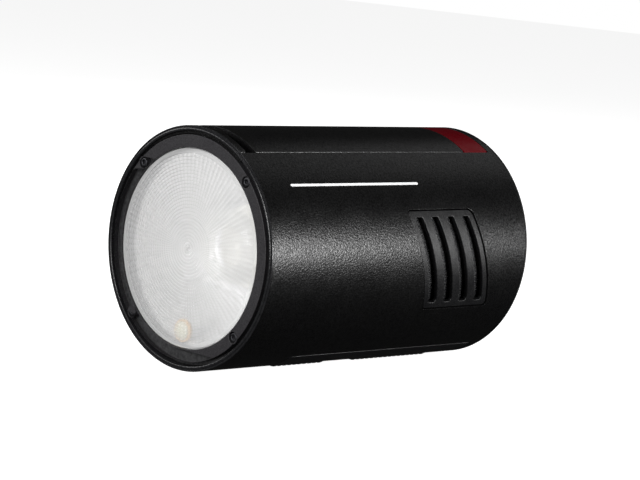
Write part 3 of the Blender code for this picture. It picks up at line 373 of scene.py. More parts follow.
def circuit(name):
    """Green board: copper runs show as paler bands under the mask."""
    material, tree, shader = new_finish(name, (0.01, 0.09, 0.035), 0.35)
    runs = add_node(tree, "ShaderNodeTexBrick", Scale=260.0, Mortar_Size=0.012)
    tree.links.new(place(tree), runs.inputs["Vector"])
    colours = [(0.0, (0.012, 0.11, 0.045)), (1.0, (0.02, 0.2, 0.08))]
    tree.links.new(tint(tree, runs.outputs["Fac"], colours), shader.inputs["Base Color"])
    emboss(tree, shader, runs.outputs["Fac"], 0.03 * MM)
    return material


SILVER = metal("silvered_bowl", (0.9, 0.9, 0.9), 0.5, 2 * MM)
ALUMINIUM = metal("machined_aluminium", (0.72, 0.73, 0.74), 0.35, 0.6 * MM)
BRASS = metal("machined_brass", (0.75, 0.56, 0.27), 0.28, 0.5 * MM)
STEEL = metal("drawn_spring_steel", (0.62, 0.62, 0.63), 0.28, 0.3 * MM)
OXIDE = metal("black_oxide_screw", (0.055, 0.055, 0.06), 0.4, 0.3 * MM)
CERAMIC = sleeve("white_ceramic", (0.78, 0.77, 0.72), 0.55)
PHOSPHOR = sleeve("yellow_phosphor", (0.78, 0.42, 0.08), 0.5)
CAP_SLEEVE = sleeve("dark_capacitor_sleeve", (0.025, 0.026, 0.03))
CELL_WRAP = sleeve("blue_cell_wrap", (0.02, 0.12, 0.36))
DISPLAY = sleeve("display_backing", (0.16, 0.19, 0.17), 0.3)
INK = sleeve("white_pad_print", (0.8, 0.81, 0.82), 0.5)
BOARD = circuit("green_circuit_board")
print(len(bpy.data.materials), "finishes made")

# %% [markdown]
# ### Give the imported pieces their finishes
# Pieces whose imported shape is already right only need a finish. Assigning to the material slot leaves the
# mesh alone, so the shape still matches the mechanical model exactly.

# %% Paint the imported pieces
PAINT = {
    INNER: ["front_carrier", "battery_bay", "battery_tray", "rear_frame"],
    RUBBER: ["lens_gasket", "button_membrane"],
    CERAMIC: ["tube_base", "trigger_coil"],
    TUBE: ["flash_tube"],
    ALUMINIUM: ["lamp_post", "usb_socket"],
    BRASS: ["bay_contacts", "battery_terminals"],
    CAP_SLEEVE: ["capacitor_left", "capacitor_right", "charge_transformer", "light_sensor", "sync_jack"],
    OXIDE: ["dial_encoder"],
    CELL_WRAP: ["cell_left", "cell_right"],
    BOARD: ["power_board", "port_board", "control_board"],
}
for finish, nodes in PAINT.items():
    for node in nodes:
        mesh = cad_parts[node].data
        mesh.materials.clear()
        mesh.materials.append(finish)
print("painted", sum(len(nodes) for nodes in PAINT.values()), "packed pieces")

# %% [markdown]
# ## Tools for making the fine pieces
# Three ways of making cover almost everything here. A turned piece is a profile spun round an axis. A flat
# plate is a filled outline with holes, thickened, with its edges rounded as it is made. A curved plate is
# the same flat plate cut into strips and rolled round the body, just as a maker would roll sheet, so its
# holes keep clean edges.

# %% Rounding an outline's corners
def rounded(points, radius, steps=4):
    """Replaces each corner of a closed outline by an arc. radius is one number, or one for each corner."""
    radii = radius if isinstance(radius, (list, tuple)) else [radius] * len(points)
    made = []
    for k, corner in enumerate(points):
        here = Vector(corner)
        before, after = Vector(points[k - 1]) - here, Vector(points[(k + 1) % len(points)]) - here
        bend = before.angle(after)
        if radii[k] <= 0 or bend > math.radians(177):
            made.append(here)
            continue
        back = min(radii[k] / math.tan(bend / 2), 0.49 * before.length, 0.49 * after.length)
        size = back * math.tan(bend / 2)
        middle = here + (before.normalized() + after.normalized()).normalized() * (size / math.sin(bend / 2))
        start, end = here + before.normalized() * back - middle, here + after.normalized() * back - middle
        turn = math.atan2(start.x * end.y - start.y * end.x, start.dot(end))
        made += [middle + Matrix.Rotation(turn * step / steps, 2) @ start for step in range(steps + 1)]
    return [tuple(point) for point in made]


def circle(x, y, radius, steps=48):
    """Points round a circle."""
    turns = [math.tau * k / steps for k in range(steps)]
    return [(x + radius * math.cos(t), y + radius * math.sin(t)) for t in turns]


def oblong(x, y, width, height, radius):
    """A rectangle about a middle point, with rounded corners."""
    w, h = width / 2, height / 2
    return rounded([(x - w, y - h), (x + w, y - h), (x + w, y + h), (x - w, y + h)], radius)


def arc(angle, radius=BODY_R):
    """The arc length from +X to an angle in degrees, along a surface of this radius."""
    return math.radians(angle) * radius


def make_piece(name, bm, finish, body, replaces=(), smooth=35):
    """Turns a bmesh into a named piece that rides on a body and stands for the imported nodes."""
    bmesh.ops.remove_doubles(bm, verts=bm.verts, dist=1e-6)
    bmesh.ops.recalc_face_normals(bm, faces=bm.faces)
    mesh = bpy.data.meshes.new(name)
    bm.to_mesh(mesh)
    bm.free()
    mesh.shade_smooth()
    mesh.set_sharp_from_angle(angle=math.radians(smooth))
    mesh.materials.append(finish)
    piece = bpy.data.objects.new(name, mesh)
    bpy.context.scene.collection.objects.link(piece)
    even = piece.modifiers.new("even_normals", "WEIGHTED_NORMAL")
    even.keep_sharp = True
    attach(piece, body)
    if replaces:
        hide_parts(*([replaces] if isinstance(replaces, str) else replaces))
    return piece


def carve(piece, tool_bm):
    """Cuts a tool's shape out of a piece for good."""
    mesh = bpy.data.meshes.new("carving_tool")
    bmesh.ops.recalc_face_normals(tool_bm, faces=tool_bm.faces)
    tool_bm.to_mesh(mesh)
    tool_bm.free()
    tool = bpy.data.objects.new("carving_tool", mesh)
    bpy.context.scene.collection.objects.link(tool)
    cut = piece.modifiers.new("carve", "BOOLEAN")
    cut.object = tool
    cut.operation = "DIFFERENCE"
    cut.solver = "EXACT"
    piece.modifiers.move(len(piece.modifiers) - 1, 0)
    even = piece.modifiers["even_normals"]
    even.show_viewport = False
    bpy.context.view_layer.update()
    solid = piece.evaluated_get(bpy.context.evaluated_depsgraph_get())
    carved = bpy.data.meshes.new_from_object(solid)
    carved.name = piece.data.name
    piece.modifiers.remove(cut)
    even.show_viewport = True
    old, piece.data = piece.data, carved
    bpy.data.meshes.remove(old)
    bpy.data.objects.remove(tool)
    bpy.data.meshes.remove(mesh)


# %% Turned pieces
ACROSS, BACK, UP = Vector((1, 0, 0)), Vector((0, 1, 0)), Vector((0, 0, 1))


def spin(bm, profile, steps, centre, reshape=None, along=BACK, up=UP):
    """Sweeps a closed (radius, height) profile round an axis.

    reshape(k, turn, radius, height) may change one point of the profile as it goes round.
    """
    rings = []
    for step in range(steps):
        turn = math.tau * step / steps
        out = ACROSS * math.cos(turn) + up * math.sin(turn)
        ring = []
        for k, (radius, height) in enumerate(profile):
            if reshape:
                radius, height = reshape(k, turn, radius, height)
            ring.append(bm.verts.new(Vector(centre) + out * radius + along * height))
        rings.append(ring)
    count = len(profile)
    for step in range(steps):
        this, following = rings[step], rings[(step + 1) % steps]
        for k in range(count):
            on_axis = profile[k][0] == 0 and profile[(k + 1) % count][0] == 0
            if not on_axis:
                bm.faces.new((this[k], this[(k + 1) % count], following[(k + 1) % count], following[k]))
    bmesh.ops.remove_doubles(bm, verts=bm.verts, dist=1e-7)
    bmesh.ops.dissolve_degenerate(bm, edges=bm.edges, dist=1e-8)


def turned(name, profile, finish, body, replaces, steps, at=(0, 0), reshape=None):
    """A turned piece along Y. Heights are depths; at is its own axis as (x, height above the body's axis)."""
    bm = bmesh.new()
    spin(bm, profile, steps, CENTRE + Vector((at[0], 0, at[1])), reshape)
    return make_piece(name, bm, finish, body, replaces)


# %% Flat and curved plates
def plate_mesh(outlines, thickness, edge):
    """A flat plate as a bmesh: outlines in its plane, lower face at z = 0, edges rounded on both faces."""
    curve = bpy.data.curves.new("plate_outline", "CURVE")
    curve.dimensions = "2D"
    curve.fill_mode = "BOTH"
    curve.extrude = thickness / 2 - edge
    curve.bevel_depth = edge
    curve.bevel_resolution = 1
    curve.offset = -edge
    for outline in outlines:
        spline = curve.splines.new("POLY")
        spline.points.add(len(outline) - 1)
        for point, (u, v) in zip(spline.points, outline):
            point.co = (u, v, 0, 1)
        spline.use_cyclic_u = True
    holder = bpy.data.objects.new("plate_outline", curve)
    bpy.context.scene.collection.objects.link(holder)
    bpy.context.view_layer.update()
    solid = holder.evaluated_get(bpy.context.evaluated_depsgraph_get())
    bm = bmesh.new()
    bm.from_mesh(solid.to_mesh())
    solid.to_mesh_clear()
    bpy.data.objects.remove(holder)
    bpy.data.curves.remove(curve)
    bmesh.ops.remove_doubles(bm, verts=bm.verts, dist=1e-6)
    bmesh.ops.translate(bm, verts=bm.verts, vec=(0, 0, thickness / 2))
    return bm


PLATE_STAND = Matrix(((1, 0, 0, 0), (0, 0, 1, FRONT), (0, 1, 0, AXIS_Z), (0, 0, 0, 1)))


def flat_plate(name, layers, finish, body, replaces, edge):
    """Plates facing along Y. A layer is (outlines as (x, height above the axis), from depth, to depth)."""
    bm = bmesh.new()
    for outlines, start, end in layers:
        layer = plate_mesh(outlines, end - start, min(edge, 0.45 * (end - start)))
        bmesh.ops.translate(layer, verts=layer.verts, vec=(0, 0, start))
        bmesh.ops.transform(layer, matrix=PLATE_STAND, verts=layer.verts)
        mesh = bpy.data.meshes.new("layer")
        layer.to_mesh(mesh)
        layer.free()
        bm.from_mesh(mesh)
        bpy.data.meshes.remove(mesh)
    return make_piece(name, bm, finish, body, replaces, smooth=20)


STRIP_TURN = math.radians(2.5)


def slice_plate(bm, along, where, cut_off=0):
    """Cuts a plate mesh at one place along an axis; cut_off +1 or -1 throws away what lies beyond."""
    normal = Vector((0, 0, 0))
    normal[along] = cut_off or 1
    point = Vector((0, 0, 0))
    point[along] = where
    bmesh.ops.bisect_plane(
        bm, geom=bm.verts[:] + bm.edges[:] + bm.faces[:], plane_co=point, plane_no=normal, dist=1e-7,
        clear_outer=bool(cut_off),
    )


def curved_plate(
    name, outlines, inner, outer, finish, body, replaces=(), edge=0.2 * MM, ends=None, lean=None, rebate=None
):
    """A plate rolled round the body. Outlines are (arc length on the outer face, depth).

    ends closes it into a ring between two angles. lean(angle) is 1 where edges stand upright rather than
    point at the axis. rebate (depth, radius) opens the bore up as far as that depth.
    """
    bm = plate_mesh(outlines, outer - inner, edge)
    low = min(vertex.co.x for vertex in bm.verts)
    high = max(vertex.co.x for vertex in bm.verts)
    step = STRIP_TURN * outer
    for k in range(math.ceil(low / step + 0.05), math.floor(high / step - 0.05) + 1):
        slice_plate(bm, 0, k * step)
    if rebate:
        slice_plate(bm, 1, rebate[0])
        slice_plate(bm, 1, rebate[0] + 0.01 * MM)
        for vertex in bm.verts:
            if vertex.co.y < rebate[0] + 0.005 * MM:
                vertex.co.z = max(vertex.co.z, rebate[1] - inner)
    if ends:
        slice_plate(bm, 0, arc(ends[0], outer), -1)
        slice_plate(bm, 0, arc(ends[1], outer), 1)
    for vertex in bm.verts:
        turn, radius = vertex.co.x / outer, inner + vertex.co.z
        if lean:
            upright = math.acos(max(-1, min(1, outer * math.cos(turn) / radius)))
            turn += lean(math.degrees(turn)) * (upright - turn)
        vertex.co = CENTRE + Vector((radius * math.cos(turn), vertex.co.y, radius * math.sin(turn)))
    return make_piece(name, bm, finish, body, replaces, smooth=20)


print("tools ready")

# %% [markdown]
# ## The front end
# The rim is smooth and glossy where the housing is grained, so it would come from a polished mould. A thin
# lip and a thin groove run round its face: they are what draws the bright line between the rim and the
# bezel. Its sleeve slips inside the housing, and stops where the battery strip passes over it.

# %% Rim
STRIP_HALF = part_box("battery_cover")[1].x
SEAM_HALF = STRIP_HALF + GAP
RIM_BACK = 0.5 * MM
SLEEVE_BACK = depth("front_rim")
strip_angle = math.degrees(math.asin(SEAM_HALF / BODY_R))


def clear_the_strip(k, turn, radius, height):
    """Shortens the sleeve under the battery strip."""
    under_strip = abs(math.degrees(turn) - 90) < strip_angle + 1
    if under_strip and height > RIM_BACK:
        return radius, RIM_BACK + 0.01 * MM
    return radius, height


rim_profile = offsets(0, 0, [
    (36.3, 2.4), (36.3, 0.5), (36.34, 0.28), (36.45, 0.12), (36.6, 0.03), (36.8, 0.0), (37.0, 0.03),
    (37.17, 0.12), (37.28, 0.24), (37.34, 0.36), (37.6, 0.36), (37.66, 0.22), (37.76, 0.13), (37.88, 0.14),
    (37.97, 0.22), (38.0, 0.32), (38.0, 0.5), (36.9, 0.5), (36.9, 2.4),
])
turned("rim", rim_profile, RIM, "body", "front_rim", 192, reshape=clear_the_strip)
print("rim sleeve reaches", round(SLEEVE_BACK / MM, 1), "mm back")

# %% [markdown]
# ### Bezel and its screws
# The bezel is a flat satin ring, punched with four counterbored holes. Its edges are barely rounded, which
# is enough for a thin highlight. The screws are black oxide with a hexagonal socket, sunk just below the
# face.

# %% Bezel
BEZEL_R = reach("bezel_ring")
APERTURE_R = BEZEL_R - 3.9 * MM
SCREW_CIRCLE = BEZEL_R - 1.6 * MM
SCREW_HEAD_R = 1.5 * MM


def on_circle(radius, angle):
    """(x, height above the axis) of a point on a circle round the axis."""
    return radius * math.cos(math.radians(angle)), radius * math.sin(math.radians(angle))


bezel_screws = {f"bezel_screw_{k + 1}": on_circle(SCREW_CIRCLE, 45 + 90 * k) for k in range(4)}
bores = [circle(x, z, SCREW_HEAD_R + GAP, 32) for x, z in bezel_screws.values()]
faces = [circle(0, 0, BEZEL_R, 192), circle(0, 0, APERTURE_R, 192)]
flat_plate("bezel", [(faces + bores, *whole("bezel_ring"))], BEZEL, "body", "bezel_ring", 0.12 * MM)
print("aperture", round(2 * APERTURE_R / MM, 1), "mm")


# %% Screws
def screw(node, x, z, head_at, inwards):
    """A countersunk screw with a hexagonal socket, along Y; inwards is +1 when it is driven towards +Y."""
    length = (depth(node) - depth(node, 0)) / MM
    profile = [
        (0, 0.6), (0.62, 0.5), (0.62, 0.08), (0.72, 0.02), (0.85, 0.0), (1.2, 0.02), (1.4, 0.1),
        (1.5, 0.26), (1.5, 0.45), (0.72, 1.1), (0.64, 1.3), (0.64, length), (0, length),
    ]
    profile = [(radius * MM, height * MM * inwards) for radius, height in profile]

    def hexagonal(k, turn, radius, height):
        """Pulls the socket's points out into a hexagon."""
        if 0 < k < 4:
            radius /= math.cos((turn + math.pi / 6) % (math.pi / 3) - math.pi / 6)
        return radius, height

    bm = bmesh.new()
    spin(bm, profile, 24, CENTRE + Vector((x, head_at, z)), hexagonal)
    make_piece(node + "_head", bm, OXIDE, "body", node)


for node, (x, z) in bezel_screws.items():
    screw(node, x, z, depth(node, 0), 1)
print(len(bezel_screws), "bezel screws")

# %% [markdown]
# ### Lens
# The lens is a thin moulded disc. Instead of one thick curve it carries many narrow rings, each a slice of
# that curve set back to the face: the light is bent just as well and the lens stays a few millimetres
# thick. The rings grow steeper towards the edge, and each has a short step between it and the next.

# %% Ringed lens
LENS_FACE, LENS_BACK = whole("front_lens")
FLANGE_FROM = depth("front_carrier", 0)
RING_PITCH = 1.05 * MM
LENS_R = APERTURE_R - GAP
FACETS, FACET_SHARE = 96, 0.8
ring_count = int((LENS_R - 0.9 * MM) / RING_PITCH)
lens_profile = [(0, LENS_FACE)]
for k in range(ring_count):
    start, share = k * RING_PITCH, (k + 0.5) / ring_count
    drop = (0.06 + 0.3 * share) * MM
    if k:
        lens_profile.append((start + 0.05 * MM, LENS_FACE))
    lens_profile.append((start + 0.5 * RING_PITCH, LENS_FACE + 0.42 * drop))
    lens_profile.append((start + 0.95 * RING_PITCH, LENS_FACE + drop))
last_ring = len(lens_profile) - 1
lens_profile += [
    (ring_count * RING_PITCH + 0.05 * MM, LENS_FACE),
    (LENS_R - 0.2 * MM, LENS_FACE),
    (LENS_R, LENS_FACE + 0.2 * MM),
    (LENS_R, FLANGE_FROM),
    (reach("front_lens"), FLANGE_FROM),
    (reach("front_lens"), LENS_BACK),
    (0, LENS_BACK),
]


def facet(k, turn, radius, height):
    """Waves each ring's slope along its length, which cuts it into small lenslets."""
    if 0 < k <= last_ring:
        height -= FACET_SHARE * (height - LENS_FACE) * (0.5 + 0.5 * math.cos(FACETS * turn))
    return radius, height


turned("lens", lens_profile, LENS, "body", "front_lens", FACETS * 4, reshape=facet)
print(ring_count, "rings")

# %% [markdown]
# ### Reflector, tube and lamp
# The bowl behind the lens is spun and then fluted, so that its spokes cross the lens rings and mix the
# light. Its wall steps aside for the modelling lamp, a domed LED whose yellow phosphor shows through clear
# resin.

# %% Fluted bowl
BOWL_FROM, BOWL_TO = whole("reflector")
BOWL_BACK_R = 13.6 * MM
BOWL_WALL = 0.8 * MM
BOWL_ROWS = 18
MOUTH = reach("reflector") - BOWL_WALL
FLUTES, FLUTE_DEPTH = 48, 0.4 * MM
LAMP_ROOM = 0.45 * MM
lamp_at, lamp_size = face_on("lamp_led")
LAMP_R = lamp_size[0] / 2
bowl_inside = []
for k in range(BOWL_ROWS + 1):
    share = 1 - (1 - k / BOWL_ROWS) ** 2
    radius = BOWL_BACK_R + (MOUTH - BOWL_BACK_R) * math.sqrt(1 - share)
    bowl_inside.append((radius, BOWL_FROM + (BOWL_TO - BOWL_FROM) * share))
bowl_outside = [(radius + BOWL_WALL, height) for radius, height in reversed(bowl_inside)]


def flute(k, turn, radius, height):
    """Presses flutes into the bowl, deepest at its mouth."""
    if k < len(bowl_inside):
        pressed = FLUTE_DEPTH * (radius - BOWL_BACK_R) / (MOUTH - BOWL_BACK_R)
        radius -= pressed * (0.5 + 0.5 * math.cos(FLUTES * turn))
    return radius, height


bowl = turned("bowl", bowl_inside + bowl_outside, SILVER, "body", "reflector", FLUTES * 6, reshape=flute)
lamp_bay = bmesh.new()
lamp_to = depth("lamp_led")
bay_r, bay_to = LAMP_R + LAMP_ROOM, lamp_to + 0.4 * MM
bay_profile = [(0, 0), (bay_r, 0), (bay_r, bay_to), (0, bay_to)]
spin(lamp_bay, bay_profile, 32, CENTRE + Vector((lamp_at[0], 0, lamp_at[1])))
carve(bowl, lamp_bay)
print("bowl mouth", round(2 * MOUTH / MM, 1), "mm")

# %% Modelling lamp
DOME_R, DOME_TALL = 0.86 * LAMP_R, 1.5 * MM
DOME_ROWS = 10
dome_profile = []
for k in range(DOME_ROWS + 1):
    turn = math.pi / 2 * k / DOME_ROWS
    dome_profile.append((DOME_R * math.sin(turn), lamp_to - 0.7 * MM - DOME_TALL * math.cos(turn)))
dome_profile += [(DOME_R, lamp_to - 0.5 * MM), (0, lamp_to - 0.5 * MM)]
turned("lamp_dome", dome_profile, DOME, "body", "lamp_led", 48, lamp_at)
SEAT_R = 4.2
SEAT_STEPS = [(0, 0.45), (2.6, 0.45), (2.8, 0.6), (3.7, 0.6), (3.7, 0.95), (4.0, 0.95)]
SEAT_STEPS += [(SEAT_R, 0.75), (SEAT_R, 0), (0, 0)]
seat_profile = [(out / SEAT_R * LAMP_R, lamp_to - tall * MM) for out, tall in SEAT_STEPS]
turned("lamp_phosphor", seat_profile, PHOSPHOR, "body", "lamp_led", 48, lamp_at)
print("modelling lamp at", [round(v / MM, 1) for v in lamp_at])

# %% [markdown]
# ## The housing
# The shell is one moulded tube with openings for the battery on top, a vent on each side, the base and the
# ports. It is drawn here as an unrolled sheet: across is the way round the body, up is the depth behind the
# front plane. Rolling the sheet gives the tube. The openings' corners are rounded, as a cutter or a mould
# would leave them.

# %% Draw the vents
VENT_MID = 81.1 * MM
VENT_LEN = 29.7 * MM
VENT_HALF = 24.8
VENT_TURN = -0.6
VENT_SLANT = 0.235 * MM
SLOT_HALF = 21.6
SLOT_WIDE = 3.7 * MM
SLOT_PITCH = 7.2 * MM
GRILLE_R = BODY_R - 0.3 * MM


def mirrored(outline, radius):
    """The same outline on the other side of the body."""
    return [(math.pi * radius - u, v) for u, v in outline]


def vent_shape(radius, grow, from_mid, to_mid, half_angle, corners):
    """A slanted four-sided outline on the +X side; it leans back as it goes down."""
    points = []
    for side, end in ((1, -1), (-1, -1), (-1, 1), (1, 1)):
        angle, along = side * half_angle, (to_mid if end > 0 else from_mid)
        up = arc(angle + VENT_TURN, radius) + side * grow
        points.append((up, VENT_MID + along + end * grow - VENT_SLANT * angle))
    return rounded(points, corners, 6)


half_vent = VENT_LEN / 2
VENT_CORNERS = [0.9 * MM, 1.2 * MM, 1.2 * MM, 2.8 * MM]
vent_opening = vent_shape(BODY_R, GAP, -half_vent, half_vent, VENT_HALF, VENT_CORNERS)
grille_edge = vent_shape(GRILLE_R, 0, -half_vent, half_vent, VENT_HALF, VENT_CORNERS)
grille_slots = []
for k in range(4):
    middle = SLOT_PITCH * (k - 1.5)
    slot_from, slot_to = middle - SLOT_WIDE / 2, middle + SLOT_WIDE / 2
    grille_slots.append(vent_shape(GRILLE_R, 0, slot_from, slot_to, SLOT_HALF, 0.95 * MM))
print(len(grille_slots), "slots in each vent")

# %% Roll the housing
port_low, port_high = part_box("port_cover")
PORT_FROM, PORT_TO = port_low.y - FRONT - GAP, port_high.y - FRONT + GAP
port_half = math.degrees(math.asin((port_high.z - AXIS_Z + GAP) / BODY_R))
SHELL_FROM, SHELL_TO = RIM_BACK + 0.12 * MM, depth("housing")
OPEN_TO = SHELL_TO - 2.6 * MM
BASE_HALF = 33.0
BASE_FROM = depth("base_plate", 0)
base_cut = BASE_HALF + math.degrees(GAP / BODY_R)
top_edge = 90 - strip_angle


def window(low_angle, high_angle, start, end, corner):
    """A four-sided outline between two angles and two depths, with rounded corners."""
    left, right = arc(low_angle), arc(high_angle)
    return rounded([(left, start), (right, start), (right, end), (left, end)], corner)


shell_edge = [(arc(-140), SHELL_FROM), (arc(top_edge), SHELL_FROM), (arc(top_edge), OPEN_TO)]
shell_edge += [(arc(180 - top_edge), OPEN_TO), (arc(180 - top_edge), SHELL_FROM), (arc(320), SHELL_FROM)]
shell_edge += [(arc(320), SHELL_TO), (arc(-140), SHELL_TO)]
shell_edge = rounded(shell_edge, [0, 0.4 * MM, 0.8 * MM, 0.8 * MM, 0.4 * MM, 0, 0, 0])
openings = [
    vent_opening,
    mirrored(vent_opening, BODY_R),
    window(180 - port_half, 180 + port_half, PORT_FROM, PORT_TO, 1.6 * MM),
    window(-90 - base_cut, -90 + base_cut, BASE_FROM - GAP, OPEN_TO + GAP, 2.2 * MM),
    window(270 - base_cut, 270 + base_cut, BASE_FROM - GAP, OPEN_TO + GAP, 2.2 * MM),
]


def near_the_strip(angle):
    """1 beside the battery strip, falling to 0 ten degrees away."""
    outside = abs(angle - 90) - (90 - top_edge)
    return max(0, min(1, 1 - outside / 10))


rebate = (SLEEVE_BACK + GAP, BODY_R - 0.8 * MM)
curved_plate(
    "shell", [shell_edge, *openings], BODY_R - WALL, BODY_R, HOUSING, "body", "housing",
    edge=0.06 * MM, ends=(-90, 270), lean=near_the_strip, rebate=rebate,
)
print("shell rolled with", len(openings) - 1, "openings and the open top")

# %% Vent grilles
grille_in = BODY_R - WALL + GAP
right = [grille_edge, *grille_slots]
for side, vent in (("right", right), ("left", [mirrored(outline, GRILLE_R) for outline in right])):
    node = f"vent_grille_{side}"
    curved_plate(f"vent_{side}", vent, grille_in, GRILLE_R, GRILLE, "body", node, edge=0.22 * MM)
print("vent grilles rolled")

# %% [markdown]
# Behind each grille lies a dust screen of open foam, so the slots look dark and slightly grainy.

# %% Dust screens
SCREEN_R = BODY_R - WALL - GAP
screen = vent_shape(SCREEN_R, 1.2 * MM, -half_vent, half_vent, VENT_HALF, 2 * MM)
SCREEN_IN = SCREEN_R - 0.5 * MM
for side, outline in (("right", screen), ("left", mirrored(screen, SCREEN_R))):
    curved_plate(f"dust_screen_{side}", [outline], SCREEN_IN, SCREEN_R, SCREEN, "body", edge=0.1 * MM)
print("dust screens fitted")

# %% [markdown]
# ## Base and stand socket
# The base is a separate curved plate that closes the shell from below. Two low lands give the round body
# something flat to stand on, with ribs so it doesn't slide. Between them a brass bush takes the stud of a
# light stand: it carries the whole weight, so it is metal and bolts to the chassis rather than being tapped
# in plastic.

# %% Base plate and feet
bush_low, bush_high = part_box("stand_bush")
bush_at = ((bush_low + bush_high) / 2).y - FRONT
BUSH_R = (bush_high.x - bush_low.x) / 2
BASE_TO = depth("base_plate")
FOOT_HALF = 5.5 * MM
RIB_PITCH = 2.2 * MM
RIB_SHAPE = ((0.15, 0.35 * MM), (0.3, 0), (0.8, 0), (0.95, 0.35 * MM))
base_edge = window(-90 - BASE_HALF, -90 + BASE_HALF, BASE_FROM, BASE_TO, 2.0 * MM)
bush_hole = circle(arc(-90), bush_at, BUSH_R + GAP, 40)
curved_plate("base_shell", [base_edge, bush_hole], BODY_R - WALL, BODY_R, GRILLE, "body", "base_plate")


def ribbed_foot(name, start, end):
    """A low land under the body from one depth to another, with ribs across its sole."""
    count = max(3, round((end - start) / RIB_PITCH))
    pitch = (end - start) / count
    top = 1.1 * MM
    side = [(start, top)]
    for k in range(count):
        side += [(start + (k + share) * pitch, height) for share, height in RIB_SHAPE]
    side.append((end, top))
    slope = 2.0 * MM
    bm = bmesh.new()
    rows = []
    for x, share in ((-FOOT_HALF - slope, 1), (-FOOT_HALF, 0), (FOOT_HALF, 0), (FOOT_HALF + slope, 1)):
        rows.append([bm.verts.new((x, FRONT + at, height + share * (top - height))) for at, height in side])
    for near, far in zip(rows, rows[1:]):
        for k in range(len(side) - 1):
            bm.faces.new((near[k], near[k + 1], far[k + 1], far[k]))
    bm.faces.new((rows[0][0], rows[0][-1], rows[-1][-1], rows[-1][0]))
    make_piece(name, bm, RUBBER, "body", "base_plate")


BUSH_ROOM = BUSH_R + 1.2 * MM
ribbed_foot("front_foot", BASE_FROM + 7.0 * MM, bush_at - BUSH_ROOM)
ribbed_foot("rear_foot", bush_at + BUSH_ROOM, BASE_TO - 7.0 * MM)
print("feet made; the bush is", round(bush_at / MM, 1), "mm behind the front plane")

# %% Threaded stand bush
STUD_R = 3.2 * MM
THREAD_PITCH = 1.27 * MM
THREAD_DEPTH = 0.55 * MM
BUSH_TALL = bush_high.z - bush_low.z
THREAD_ROWS = 44
bush_profile = offsets(BUSH_R, bush_low.z, [(-0.35, 0), (0, 0.35)])
bush_profile += offsets(BUSH_R, bush_high.z, [(0, -0.35), (-0.35, 0)])
thread_from = len(bush_profile)
bush_profile += [(STUD_R, bush_low.z + BUSH_TALL * k / THREAD_ROWS) for k in range(THREAD_ROWS, -1, -1)]


def helix(k, turn, radius, height):
    """Cuts the thread outwards from the bore, but not at its two mouths."""
    if thread_from < k < len(bush_profile) - 1:
        phase = (height / THREAD_PITCH - turn / math.tau) % 1
        radius += THREAD_DEPTH * (1 - abs(2 * phase - 1))
    return radius, height


bush_mesh = bmesh.new()
spin(bush_mesh, bush_profile, 60, (0, FRONT + bush_at, 0), helix, UP, BACK)
make_piece("threaded_bush", bush_mesh, BRASS, "body", "stand_bush", smooth=60)
print("thread pitch", THREAD_PITCH / MM, "mm")

# %% [markdown]
# ## The top strip
# Everything along the top follows the same curve: a bridge at the front, a gap for a fingertip with the
# latch in it, the battery's lid, and the red window. Their sides stand upright, so the battery can rise
# straight out.

# %% Bridge, window and lid
lid_edge = math.degrees(math.acos(STRIP_HALF / BODY_R))


def upright(angle):
    """The strip's pieces have upright sides at every angle."""
    return 1


def strip_plate(name, node, inner, finish, corners, body="body", edge=0.1 * MM):
    """One curved piece across the whole strip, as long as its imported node."""
    outline = window(lid_edge, 180 - lid_edge, *whole(node), corners)
    curved_plate(name, [outline], inner, BODY_R, finish, body, node, edge=edge, lean=upright)


strip_plate("bridge", "front_bridge", BEZEL_R + GAP, HOUSING, [0.15 * MM, 0.15 * MM, 0.8 * MM, 0.8 * MM])
strip_plate("window", "sensor_window", BODY_R - WALL + GAP, WINDOW, 0.5 * MM)
strip_plate("lid", "battery_cover", BODY_R - 1.6 * MM, HOUSING, 0.5 * MM, "battery", 0.05 * MM)
NOSE_R = BODY_R - 4.8 * MM
nose_half = STRIP_HALF - 0.1 * MM


def arched(half, low_r, high_r):
    """(x, height) outline of an arch with upright sides between two radii."""
    across = [half * (k / 12 - 1) for k in range(25)]
    top = [(x, math.sqrt(high_r**2 - x**2)) for x in across]
    return top + [(x, math.sqrt(low_r**2 - x**2)) for x in reversed(across)]


nose = [arched(nose_half, NOSE_R, BODY_R - 1.0 * MM)]
nose_from = depth("battery_cover", 0) + 0.05 * MM
nose_layers = [(nose, nose_from, nose_from + 1.6 * MM)]
flat_plate("lid_nose", nose_layers, HOUSING, "battery", "battery_cover", 0.15 * MM)
print("strip pieces made")

# %% Latch
LATCH_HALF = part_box("battery_latch")[1].x
LATCH_TOP = BODY_R - 1.2 * MM
LATCH_IN = BODY_R - 4.7 * MM
RIBS, RIB_TALL = 9, 0.45 * MM
latch_edge = []
for k in range(RIBS * 8 + 1):
    x = LATCH_HALF * (2 * k / (RIBS * 8) - 1)
    rise = abs(math.sin(math.pi * RIBS * (x / LATCH_HALF + 1) / 2)) ** 0.5
    latch_edge.append((x, math.sqrt(LATCH_TOP**2 - x**2) + RIB_TALL * (rise - 1)))
latch_edge += [(x, math.sqrt(LATCH_IN**2 - x**2)) for x in np.linspace(LATCH_HALF, -LATCH_HALF, 13)]
flat_plate("latch_tab", [([latch_edge], *whole("battery_latch"))], PANEL, "latch", "battery_latch", 0.12 * MM)
print("latch has", RIBS, "ribs")
